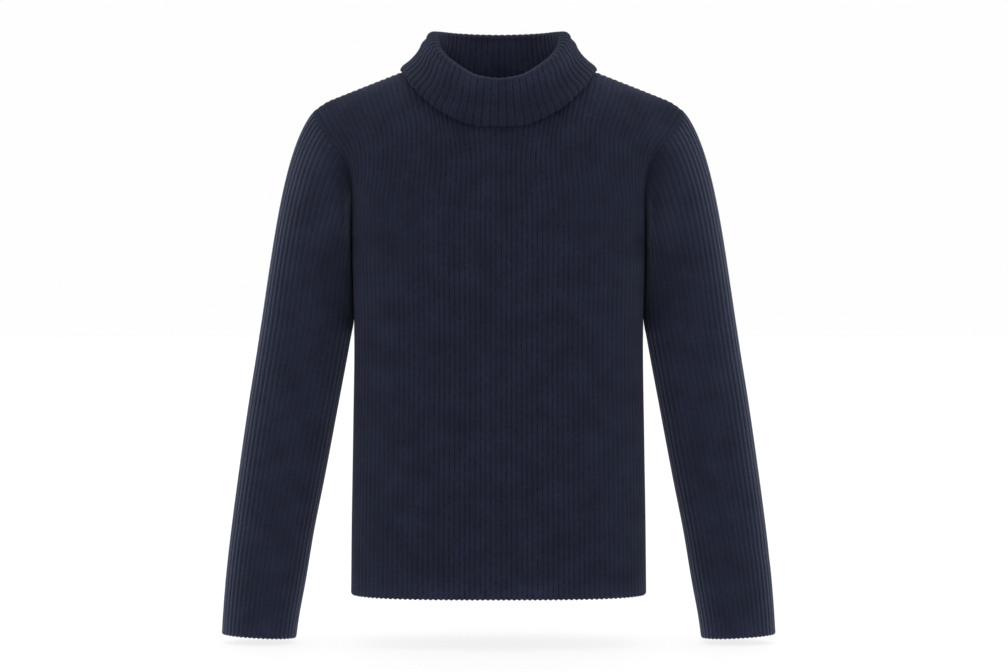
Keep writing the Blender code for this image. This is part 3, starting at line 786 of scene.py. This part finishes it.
def panel_sides(rows, columns, total, ribs, courses):
    """Faces that close a panel's shell along its side edges: quads between the outer and the inner face, and
    one face over the end of the hem's lip. Gives their corners, sizes and places on the knit."""
    strips, lips, strip_places, lip_places = [], [], [], []
    for k, order in ((0, 1), (columns - 1, -1)):
        outer = np.arange(rows) * columns + k
        inner = (2 * rows - 1 - np.arange(rows)) * columns + k
        strip = np.stack([outer[:-1], outer[1:], inner[1:], inner[:-1]], axis=-1)
        course = np.stack([courses[:-1], courses[1:], courses[1:], courses[:-1]], axis=-1)
        strip, course = (values[:, ::order].reshape(-1) for values in (strip, course))
        strips.append(strip)
        strip_places.append(np.stack([np.full_like(course, ribs[k]), course], axis=-1))
        lips.append((np.append(np.arange(2 * rows - 1, total), 0) * columns + k)[::order])
        lip_places.append(np.tile([ribs[k], courses[0]], (len(lips[-1]), 1)))
    sizes = [4] * (2 * (rows - 1)) + [len(lip) for lip in lips]
    return np.concatenate(strips + lips), sizes, np.concatenate(strip_places + lip_places)


def shell(name, points, outward, ribs, courses, wall, tube, marks):
    """A closed shell: the outer face, a rounded lip at the free edge, and the inner face back again. A tube's
    free edge is its last row, and a panel's is its first, the hem. points, outward and the marks are rows by
    columns. ribs has one more entry than the columns of a tube."""
    rows, columns = points.shape[:2]
    ribs = np.broadcast_to(ribs, (rows, ribs.shape[-1]))
    lip, share = edge_lip(points, ribs[-1] if tube else ribs[0], wall, tube)

    def all_round(values, edge=None):
        """Values of the rows on the outer face, carried over the lip and back along the inner face."""
        if edge is None:
            edge = np.repeat(values[-1:] if tube else values[:1], LIP_ROWS, axis=0)
        return np.concatenate([values, edge, values[::-1]] if tube else [values, values[::-1], edge[::-1]])

    points, course, rib_lines = all_round(points, lip), all_round(courses), all_round(ribs)
    total = len(points)
    inner_start = rows + LIP_ROWS if tube else rows
    inside = all_round(np.zeros(rows), share)
    inside[inner_start : inner_start + rows] = 1
    place = np.arange(total * columns).reshape(total, columns)
    below = np.roll(place, -1, axis=0)
    if tube:
        right, right_below = np.roll(place, -1, axis=1), np.roll(below, -1, axis=1)
    else:
        right, right_below = place[:, 1:], below[:, 1:]
        place, below = place[:, :-1], below[:, :-1]
    corners = np.stack([place, right, right_below, below], axis=-1).reshape(-1)
    sizes = [4] * place.size
    next_course, next_lines = np.roll(course, -1), np.roll(rib_lines, -1, axis=0)
    u = np.stack([rib_lines[:, :-1], rib_lines[:, 1:], next_lines[:, 1:], next_lines[:, :-1]], axis=-1)
    v = [np.broadcast_to(c[:, None], place.shape) for c in (course, course, next_course, next_course)]
    knit = np.stack([u, np.stack(v, axis=-1)], axis=-1).reshape(-1, 2)
    if not tube:
        side_corners, side_sizes, side_knit = panel_sides(rows, columns, total, ribs[0], courses)
        corners, knit = np.concatenate([corners, side_corners]), np.concatenate([knit, side_knit])
        sizes += side_sizes
    mesh = bpy.data.meshes.new(name)
    mesh.vertices.add(total * columns)
    mesh.vertices.foreach_set("co", points.reshape(-1))
    mesh.loops.add(len(corners))
    mesh.loops.foreach_set("vertex_index", corners.astype(np.int32))
    mesh.polygons.add(len(sizes))
    mesh.polygons.foreach_set("loop_start", (np.cumsum(sizes) - sizes).astype(np.int32))
    mesh.update(calc_edges=True)
    mesh.uv_layers.new(name="knit").data.foreach_set("uv", knit.reshape(-1))
    per_point = {key: all_round(mark) for key, mark in marks.items()}
    per_point["rib"] = rib_lines[:, :columns]
    per_point["wall"] = np.broadcast_to(inside[:, None], (total, columns))
    for key, values in per_point.items():
        flat = np.ascontiguousarray(values).reshape(-1)
        mesh.attributes.new(key, "FLOAT", "POINT").data.foreach_set("value", flat)
    way_out = mesh.attributes.new("outward", "FLOAT_VECTOR", "POINT")
    way_out.data.foreach_set("vector", all_round(outward).reshape(-1))
    mesh.validate()
    obj = bpy.data.objects.new(name, mesh)
    bpy.context.scene.collection.objects.link(obj)
    return obj


def face_outwards(obj):
    """Turns the shell's faces round if its volume comes out negative."""
    mesh = obj.data
    mesh.calc_loop_triangles()
    corner = np.empty(len(mesh.vertices) * 3)
    mesh.vertices.foreach_get("co", corner)
    tri = np.empty(len(mesh.loop_triangles) * 3, np.int32)
    mesh.loop_triangles.foreach_get("vertices", tri)
    a, b, c = corner.reshape(-1, 3)[tri.reshape(-1, 3)].transpose(1, 0, 2)
    if np.einsum("ij,ij->i", a, np.cross(b, c)).sum() < 0:
        mesh.flip_normals()


def settle(obj, node):
    """Turns a finished piece's faces outwards, hides the solid it stands for and hangs it on the root."""
    face_outwards(obj)
    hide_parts(node)
    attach(obj, "root")


def stitch_height(rib, course, ridge):
    """V stitches on the ridges and purl bars in the valleys."""
    on_ridge = ((ridge - RIDGE_START) * RIDGE_RISE).clamped()
    across = abs((rib * LEGS_PER_RIB).fract() - 0.5) * 2
    leg = 1 - abs(across - 0.5) * LEG_NARROWING
    stitch = ((course + across * LEG_SLANT).ridge() * leg).clamped()
    bar = (course + 0.5).ridge() * BAR_HEIGHT
    return stitch * on_ridge + bar * (1 - on_ridge)


def grain(noise, spread):
    """A factor that a noise spreads about 1."""
    return 1 - spread / 2 + spread * noise


def grain_with_painted_light_and_shade(nodes, knit, ridge, height, fibre, dye):
    """Painted shade in valleys, between stitches, in creases and at the sides; painted light; uneven yarn."""
    along_ribs = nodes.add("ShaderNodeVectorMath", {"operation": "MULTIPLY"}, {0: knit, 1: ALONG_RIBS})
    slub, thick = nodes.noise(along_ribs, SLUB_SCALE, 2.0), nodes.noise(along_ribs, THICK_SCALE, 2.0)
    cloud = nodes.noise(nodes.place(), CLOUD_SCALE, 3.0)
    nap, press, hollow = nodes.mark("nap"), nodes.mark("press"), nodes.mark("hollow")
    in_valley = 1 - (ridge * VALLEY_RISE).clamped()
    valley = in_valley * (SLUB_START + SLUB_RISE * slub) * (1 - press) * dye.valley_shade
    wale = ((ridge - WALE_START) * WALE_RISE).clamped() * (WALE_SHADE + dye.wale_line * thick)
    shade = (1 - valley) * (1 - wale) * (1 - STITCH_SHADE + STITCH_SHADE * height)
    shade = shade * grain(cloud, CLOUD_SPREAD) * grain(thick, THICK_SPREAD) * grain(fibre, FIBRE_SPREAD)
    return shade * (1 + PAINTED_LIGHT_GAIN * nap) * (1 - PAINTED_SHADE_DARKENING * hollow) * (1 - PRESS_SHADE * press)


def yarn_material(name, look, sheen, dye):
    """Navy rib knit. Where shade is painted, a copy of it without sheen is mixed in, as painted shade."""
    material = bpy.data.materials.new(name)
    material.use_nodes = True
    tree = material.node_tree
    open_cloth, painted_shade_copy = tree.nodes["Principled BSDF"], tree.nodes.new("ShaderNodeBsdfPrincipled")
    open_cloth.inputs["Sheen Weight"].default_value = sheen
    open_cloth.inputs["Sheen Roughness"].default_value = look.sheen_roughness
    open_cloth.inputs["Sheen Tint"].default_value = (*look.sheen_tint, 1)
    nodes = Nodes(tree)
    knit = nodes.add("ShaderNodeUVMap", {"uv_map": "knit"})
    rib = nodes.add("ShaderNodeSeparateXYZ", None, {0: knit})
    course = Socket(nodes, rib.link.node.outputs[1])
    ridge = rib.ridge()
    height = stitch_height(rib, course, ridge)
    fibre = nodes.noise(nodes.place(), FIBRE_SCALE, 2.0)
    relief = {"Distance": look.stitch_depth, "Height": height + fibre * FIBRE_RELIEF}
    bump = nodes.add("ShaderNodeBump", None, {"Strength": BUMP_STRENGTH, **relief})
    # strength carries the dye with its painted light and shade.
    strength = grain_with_painted_light_and_shade(nodes, knit, ridge, height, fibre, dye)
    dark, bright = [(*(c * share * dye.strength for c in look.colour), 1) for share in (DARK_DYE, BRIGHT_DYE)]
    mix = {0: strength * DYE_MIDDLE, 6: dark, 7: bright}
    colour = nodes.add("ShaderNodeMix", {"data_type": "RGBA"}, mix, out=2)
    for shader in (open_cloth, painted_shade_copy):
        shader.inputs["Roughness"].default_value = look.roughness
        shader.inputs["Specular IOR Level"].default_value = look.gloss
        tree.links.new(colour.link, shader.inputs["Base Color"])
        tree.links.new(bump.link, shader.inputs["Normal"])
    cloths = [Socket(nodes, shader.outputs[0]) for shader in (open_cloth, painted_shade_copy)]
    # Painted shade: the copy without sheen shows where the painted shade mark is high.
    both = nodes.add("ShaderNodeMixShader", None, dict(enumerate([nodes.mark("hollow"), *cloths])))
    tree.links.new(both.link, tree.nodes["Material Output"].inputs["Surface"])
    return material


def floor_material(look):
    material = bpy.data.materials.new("pale_floor")
    material.use_nodes = True
    inputs = material.node_tree.nodes["Principled BSDF"].inputs
    inputs["Base Color"].default_value = (*look.floor_colour, 1)
    inputs["Roughness"].default_value = FLOOR_ROUGHNESS
    inputs["Emission Color"].default_value = (1, 1, 1, 1)
    inputs["Emission Strength"].default_value = look.floor_glow
    return material


def panel_rows(lip):
    low = np.linspace(HEM_Z + lip, UNDERARM_Z, BODY_ROWS + 1)
    high = np.linspace(UNDERARM_Z, SHOULDER_POINT_Z, ARMHOLE_ROWS + 1)[1:]
    near_top = SHOULDER_POINT_Z - np.array(UNDER_SHOULDER)
    return np.sort(np.concatenate([low, high, near_top]))


def groove(distance, sizes):
    return sizes.seam_dip * (1 - ease(distance / sizes.seam_width))


def fold_lift(piece, across, down):
    """How far the folds of one piece raise its cloth, by metres across it and under the shoulder line."""
    lift = np.zeros_like(across)
    for row in FOLDS[piece]:
        slant = np.radians(row.slant)
        middle = row.across * (SLEEVE_FOLD_SPAN if piece.startswith("sleeve") else 1)
        right, under = across - middle, down - row.down
        along = (right * np.sin(slant) + under * np.cos(slant)) / row.length
        beside = (right * np.cos(slant) - under * np.sin(slant)) / row.width
        lift += row.lift * np.exp(-(beside**2)) * (1 - ease(np.abs(along)))
    return lift


def crease(seam_z, beside, width):
    """Where the cloth is drawn in beside the armhole's lower half, as the sleeve turns down at the body."""
    along = ease((CREASE_HIGH_Z - seam_z) / CREASE_FADE) * ease((seam_z - CREASE_LOW_Z) / CREASE_FADE)
    return along * (1 - ease(beside / width))


def touching(z, beside):
    """How flat the ribs are pressed where the sleeve rests against the body under the arm."""
    from_below, from_above = ease((z - TOUCH_LOW_Z) / TOUCH_FADE), ease((TOUCH_HIGH_Z - z) / TOUCH_FADE)
    return from_below * from_above * (1 - ease(beside / TOUCH_WIDTH))


def shade_between(seam_z, from_seam, width, z, from_underarm):
    """How much shade is painted on the cloth in the crease, and lower down where the sleeve rests on the
    body.
    """
    in_crease = CREASE_SHADE * crease(seam_z, from_seam, width * CREASE_SHADE_SPREAD) ** 0.5
    return np.maximum(in_crease, TOUCH_SHADE * touching(z, from_underarm / TOUCH_SHADE_SPREAD))


def edge_painted_light(distance):
    """How much painted light brightens the cloth, by its distance from a free edge or the collar's fold."""
    return np.exp(-((distance / PAINTED_LIGHT_WIDTH) ** 2))


def towards_side(z, from_side, side):
    """How far a row of the side table applies, by height and by the way to the panel's side edge."""
    height = side.beside_shoulder + (1 - side.beside_shoulder) * ease((SIDE_TOP_Z - z) / SIDE_FADE)
    return side.most * height * (1 - ease(from_side / side.width))


def panel_ribs(x, rows):
    """The rib at each point. Under the arm the ribs keep their distance round the body, above it they run
    straight up until the armhole ends the outer ones, and at the shoulder they fan out along it."""
    edge = column(EDGE, rows, "edge_x")[:, None]
    ending = np.clip((rows - UNDERARM_Z) / RIB_LIMIT_RISE, 0, 1)[:, None]
    whole = 1 - (1 - RIB_LIMIT) * ending**3
    across = np.abs(x) / edge
    share, ring_x, _ = BODY_RING
    straight = 2 * np.interp(across * whole, ring_x, share) - 1
    fanned = (2 * np.interp(RIB_LIMIT, ring_x, share) - 1) * across
    fan = ease((rows - FAN_START_Z) / (SHOULDER_POINT_Z - FAN_START_Z))[:, None]
    return PANEL_RIBS / 2 * (1 + np.sign(x) * (straight * (1 - fan) + fanned * fan))


def knit_panel(front, armholes, sizes):
    u = np.linspace(-1, 1, PANEL_RIBS * COLUMNS_PER_RIB + 1)
    wall = sizes.rib_depth + sizes.cloth_thickness
    rows = panel_rows(wall / 2)
    uu, zz = np.meshgrid(u, rows)
    points, outward = panel_point(uu, zz, front), panel_normal(uu, zz, front)
    in_armhole = rows > UNDERARM_Z - 1e-9
    for side, k in ((-1, 0), (1, -1)):
        heights = armholes[side].heights[::-1]
        mitre = armholes[side].body_wall_normal(front)[::-1]
        edge = np.stack([np.interp(rows[in_armhole], heights, mitre[:, i]) for i in range(3)], axis=-1)
        for step, share in enumerate(MITRE_SHARES):
            at = step if k == 0 else -1 - step
            own = outward[in_armhole, at]
            outward[in_armhole, at] = unit(own * (1 - share) + edge * share)
    girth, climb = way_along(points, axis=1), way_along(points)
    from_side = np.minimum(girth, girth[:, -1:] - girth)
    from_top = climb[-1] - climb
    seamed = ease((rows - UNDERARM_Z) / TOUCH_FADE)[:, None]
    dip = np.maximum(groove(from_side, sizes) * seamed, groove(from_top, sizes))
    settled = ease(from_side / TOUCH_WIDTH) * ease(from_top / TOUCH_WIDTH)
    dip -= fold_lift("front" if front else "back", points[..., 0], -points[..., 2]) * settled
    courses = climb[:, len(u) // 2] / COURSE_HEIGHT
    ribs = panel_ribs(points[..., 0], rows)
    # Share of the crease, which draws the cloth in.
    hollow = crease(rows[:, None], from_side, CREASE_BODY_WIDTH)
    points[..., 1] += sizes.crease_depth * hollow * (1 if front else -1)
    name = "knit_front" if front else "knit_back"
    z = points[..., 2]
    press = np.maximum(touching(z, from_side), towards_side(z, from_side, SIDE_PRESS))
    # Painted shade: in the crease, where the sleeve rests on the body and towards the side seams.
    shaded = shade_between(rows[:, None], from_side, CREASE_BODY_WIDTH, z, from_side)
    shaded = np.maximum(shaded, towards_side(z, from_side, SIDE_SHADE))
    # Painted light brightens the cloth towards the hem.
    marks = {"dip": dip, "press": press, "nap": edge_painted_light(climb), "hollow": shaded}
    return shell(name, points, outward, ribs, courses, wall, False, marks)


def knit_sleeve(armhole, node, sizes):
    columns = SLEEVE_RIBS * COLUMNS_PER_RIB
    wall = sizes.sleeve_rib_depth + sizes.cloth_thickness
    cap = np.concatenate([CAP_START, np.linspace(CAP_EVEN_START, 1, CAP_ROWS)])
    rows = np.concatenate([cap, 1 + np.linspace(0, 1, SLEEVE_ROWS + 1)[1:]])
    ribs, along = np.meshgrid(np.linspace(-1, 1, columns, endpoint=False), rows)
    points, outward = sleeve_point(armhole, ribs, along), sleeve_normal(armhole, ribs, along)
    loop = loop_share_of_rib(np.abs(ribs[0]))
    seam = np.where(
        (ribs[0] > 0)[:, None],
        armhole.sleeve_wall_normal(loop, True),
        armhole.sleeve_wall_normal(loop, False),
    )
    for row, share in enumerate(MITRE_SHARES):
        outward[row] = unit(outward[row] * (1 - share) + seam * share)
    climb = way_along(points)
    pitch = np.linalg.norm(np.roll(points, -1, axis=1) - points, axis=-1)
    from_underarm = (1 - np.abs(ribs)) / (2 / columns) * pitch.mean()
    dip = groove(climb, sizes)
    settled = ease(climb / TOUCH_WIDTH) * ease(from_underarm / TOUCH_WIDTH)
    dip -= fold_lift(node, ribs * SLEEVE_FOLD_SPAN, -points[..., 2]) * settled
    courses = climb[:, columns // 2] / COURSE_HEIGHT
    rib_lines = np.linspace(0, SLEEVE_RIBS, columns + 1)
    # Share of the crease, which draws the cloth in.
    hollow = crease(points[0, :, 2], climb, CREASE_SLEEVE_WIDTH)
    points[..., 1] += sizes.crease_depth * hollow * np.where(ribs > 0, 1, -1)
    z = points[..., 2]
    # Painted shade in the crease and where the sleeve rests on the body.
    shaded = shade_between(z[0], climb, CREASE_SLEEVE_WIDTH, z, from_underarm)
    press = touching(z, from_underarm)
    # Painted light brightens the cloth towards the cuff.
    marks = {"dip": dip, "press": press, "nap": edge_painted_light(climb[-1] - climb), "hollow": shaded}
    return shell("knit_" + node, points, outward, rib_lines, courses, wall, True, marks)


def knit_collar(sizes):
    collar = Collar(sizes.collar_rib_depth, sizes.cloth_thickness)
    wall = sizes.collar_rib_depth + sizes.cloth_thickness
    columns = COLLAR_RIBS * COLUMNS_PER_COLLAR_RIB
    stand = np.linspace(0, 1, STAND_ROWS + 1)
    over = 1 + np.linspace(0, 1, FOLD_ROWS + 1)[1:]
    fall = 2 + np.linspace(0, 1 - wall / 2 / FALL_LENGTH, FALL_ROWS + 1)[1:]
    rows = np.concatenate([stand, over, fall])
    share = np.linspace(-1, 1, columns, endpoint=False)
    angle = np.stack([collar.even_angles(share, row) for row in rows])
    along = np.repeat(rows[:, None], columns, axis=1)
    points, outward = collar.point(angle, along), collar.normal(angle, along)
    outward[0, :, 2] = 0
    outward[0] = unit(outward[0])
    courses = way_along(points)[:, columns // 2] / COURSE_HEIGHT
    rib_lines = np.linspace(0, COLLAR_RIBS, columns + 1)
    plain = np.zeros(points.shape[:2])
    # Painted light rises up the inside of the collar and is brightest where the fold turns down.
    nap = plain + np.where(rows < 1, INSIDE_PAINTED_LIGHT * rows, edge_painted_light(np.abs(rows - 2) * FALL_LENGTH))[:, None]
    marks = {"dip": plain, "press": plain, "nap": nap, "hollow": plain}
    return shell("knit_collar", points, outward, rib_lines, courses, wall, True, marks)


def length_setting(name, description, default, low, high, precision=4):
    limits = {"min": low, "max": high, "unit": "LENGTH", "precision": precision}
    return bpy.props.FloatProperty(name=name, description=description, default=default, **limits)


def share_setting(name, description, default):
    return bpy.props.FloatProperty(name=name, description=description, default=default, min=0, max=2)


def power_setting(name, description, default):
    return bpy.props.FloatProperty(name=name, description=description, default=default, min=0, unit="POWER")


def tint_setting(name, description, default):
    limits = {"min": 0, "max": 1, "size": 3, "subtype": "COLOR"}
    return bpy.props.FloatVectorProperty(name=name, description=description, default=default, **limits)


class SweaterSizes(bpy.types.PropertyGroup):
    """Sizes of the knit."""

    rib_depth: length_setting("Rib depth", "How deep the valleys lie under the ridges", 0.0010, 0.0002, 0.003)
    sleeve_rib_depth: length_setting("Sleeve rib depth", "The same on the sleeves", 0.0006, 0.0002, 0.003)
    collar_rib_depth: length_setting("Collar rib depth", "The same on the collar", 0.0010, 0.0002, 0.003)
    cloth_thickness: length_setting("Cloth thickness", "Cloth under the valleys", 0.0022, 0.001, 0.004)
    ridge_fullness: share_setting("Ridge fullness", "Power of the ridge's section: under 1 is broad", 0.55)
    wale_groove: length_setting("Wale groove", "Groove along a collar ridge", 0.0004, 0, 0.001)
    seam_dip: length_setting("Seam dip", "How far the cloth is drawn in at a seam", 0.0004, 0, 0.002)
    seam_width: length_setting("Seam width", "How wide that groove is on each side", 0.0035, 0.001, 0.01)
    crease_depth: length_setting("Crease depth", "Depth of the fold beside the armhole", 0.0090, 0, 0.02)


class YarnLook(bpy.types.PropertyGroup):
    """Colour and surface of the yarn."""

    colour: tint_setting("Colour", "Navy dye of the yarn", (0.0128, 0.0148, 0.0290))
    roughness: share_setting("Roughness", "Roughness of the yarn", 0.9)
    gloss: share_setting("Gloss", "Specular level of the yarn", 0.06)
    # The sleeves get more sheen than the body and collar of the same yarn, so they come out lighter: painted
    # light.
    body_sheen: share_setting("Body sheen", "Light caught by loose fibres of the body and collar", 0.31)
    sleeve_sheen: share_setting("Sleeve sheen", "The same on the softer sleeves", 0.76)
    sheen_roughness: share_setting("Sheen roughness", "How wide the fibres' light spreads", 0.42)
    sheen_tint: tint_setting("Sheen colour", "Colour of the fibres' light", (0.32, 0.36, 0.50))
    stitch_depth: length_setting("Stitch depth", "Relief of single stitches", 0.0004, 0, 0.002, precision=5)


class StageLook(bpy.types.PropertyGroup):
    """Floor, sky and lights."""

    floor_z: length_setting("Floor height", "Height of the floor, just under the cuffs", -0.7035, -1, 0)
    floor_colour: tint_setting("Floor colour", "Pale floor", (0.20, 0.20, 0.20))
    floor_glow: share_setting("Floor glow", "Own light of the floor, which keeps shadows faint", 0.793)
    sky: share_setting("Sky", "Strength of the even light all round", 0.99)
    top: power_setting("Top light", "Power of the broad light overhead", 14.0)
    side: power_setting("Side lights", "Power of each light at the sides", 3.0)


def relief_values(sizes, material, depth, groove=0.0):
    """What the rib relief tree is given for one piece."""
    return {
        "Rib Depth": depth,
        "Wale Groove": groove,
        "Ridge Fullness": sizes.ridge_fullness,
        "Wall Thickness": sizes.cloth_thickness,
        "Yarn": material,
    }


class SWEATER_OT_body(bpy.types.Operator):
    """Knits the front and the back, from the hem to the shoulder seams and the neckline"""

    bl_idname = "sweater.body"
    bl_label = "Front and back"

    def execute(self, context):
        sizes, look = context.scene.sweater_sizes, context.scene.sweater_yarn
        material = yarn_material("body_rib_knit", look, look.body_sheen, BODY_DYE)
        tree = rib_relief_tree()
        armholes = {side: Armhole(side) for side in (-1, 1)}
        for front, node in ((True, "front"), (False, "back")):
            obj = knit_panel(front, armholes, sizes)
            through_tree(obj, tree, relief_values(sizes, material, sizes.rib_depth))
            settle(obj, node)
        return {"FINISHED"}


class SWEATER_OT_sleeves(bpy.types.Operator):
    """Knits both sleeves, from the armhole seams to the cuffs"""

    bl_idname = "sweater.sleeves"
    bl_label = "Sleeves"

    def execute(self, context):
        sizes, look = context.scene.sweater_sizes, context.scene.sweater_yarn
        material = yarn_material("sleeve_rib_knit", look, look.sleeve_sheen, SLEEVE_DYE)
        tree = rib_relief_tree()
        for side, node in ((-1, "sleeve_right"), (1, "sleeve_left")):
            obj = knit_sleeve(Armhole(side), node, sizes)
            through_tree(obj, tree, relief_values(sizes, material, sizes.sleeve_rib_depth))
            settle(obj, node)
        return {"FINISHED"}


class SWEATER_OT_collar(bpy.types.Operator):
    """Knits the collar: one tube, up inside the neck, over the fold and down outside"""

    bl_idname = "sweater.collar"
    bl_label = "Collar"

    def execute(self, context):
        sizes, look = context.scene.sweater_sizes, context.scene.sweater_yarn
        material = yarn_material("collar_rib_knit", look, look.body_sheen, COLLAR_DYE)
        obj = knit_collar(sizes)
        values = relief_values(sizes, material, sizes.collar_rib_depth, sizes.wale_groove)
        through_tree(obj, rib_relief_tree(), values)
        settle(obj, "collar")
        return {"FINISHED"}


class SWEATER_OT_stage(bpy.types.Operator):
    """Sets the pale floor, the soft lights and the camera"""

    bl_idname = "sweater.stage"
    bl_label = "Stage"

    def execute(self, context):
        scene, look = context.scene, context.scene.sweater_stage
        place = (0, 0, look.floor_z)
        bpy.ops.mesh.primitive_circle_add(vertices=96, radius=FLOOR_RADIUS, fill_type="NGON", location=place)
        floor = context.active_object
        floor.name = "floor"
        floor.data.materials.append(floor_material(look))
        scene.world = bpy.data.worlds.new("even_light")
        scene.world.use_nodes = True
        light = scene.world.node_tree.nodes["Background"].inputs
        light["Color"].default_value = (1, 1, 1, 1)
        light["Strength"].default_value = look.sky
        scene.view_settings.view_transform = "Standard"
        for row in LAMPS:
            data = bpy.data.lights.new(row.name, "AREA")
            data.size, data.energy = row.size, look.top if row.name == "overhead" else look.side
            lamp = bpy.data.objects.new(row.name, data)
            lamp.location = row.place
            lamp.rotation_euler = (Vector(LIT_POINT) - Vector(row.place)).to_track_quat("-Z", "Y").to_euler()
            scene.collection.objects.link(lamp)
        data = bpy.data.cameras.new("camera")
        data.lens, data.sensor_width = CAMERA_LENS, CAMERA_SENSOR
        data.clip_start, data.clip_end = CAMERA_RANGE
        camera = bpy.data.objects.new("camera", data)
        camera.location = CAMERA_PLACE
        camera.rotation_euler = (np.pi / 2, 0, 0)
        scene.collection.objects.link(camera)
        scene.camera = camera
        return {"FINISHED"}


class SWEATER_PT_panel(bpy.types.Panel):
    """Lists the sweater's pieces in making order"""

    bl_label = "Turtleneck sweater"
    bl_idname = "SWEATER_PT_panel"
    bl_space_type = "VIEW_3D"
    bl_region_type = "UI"
    bl_category = "Sweater"

    def draw(self, context):
        for group in (context.scene.sweater_sizes, context.scene.sweater_yarn, context.scene.sweater_stage):
            box = self.layout.box()
            for key in group.bl_rna.properties.keys():
                if key not in ("rna_type", "name"):
                    box.prop(group, key)
        for operator in OPERATORS:
            self.layout.operator(operator.bl_idname)


GROUPS = {"sweater_sizes": SweaterSizes, "sweater_yarn": YarnLook, "sweater_stage": StageLook}
OPERATORS = (SWEATER_OT_body, SWEATER_OT_sleeves, SWEATER_OT_collar, SWEATER_OT_stage)


def register():
    for cls in (*GROUPS.values(), *OPERATORS, SWEATER_PT_panel):
        bpy.utils.register_class(cls)
    for name, group in GROUPS.items():
        setattr(bpy.types.Scene, name, bpy.props.PointerProperty(type=group))


def unregister():
    for name in GROUPS:
        delattr(bpy.types.Scene, name)
    for cls in (SWEATER_PT_panel, *OPERATORS[::-1], *tuple(GROUPS.values())[::-1]):
        bpy.utils.unregister_class(cls)


def main():
    register()
    bpy.ops.sweater.body()
    bpy.ops.sweater.sleeves()
    bpy.ops.sweater.collar()
    bpy.ops.sweater.stage()


if __name__ == "__main__":
    main()
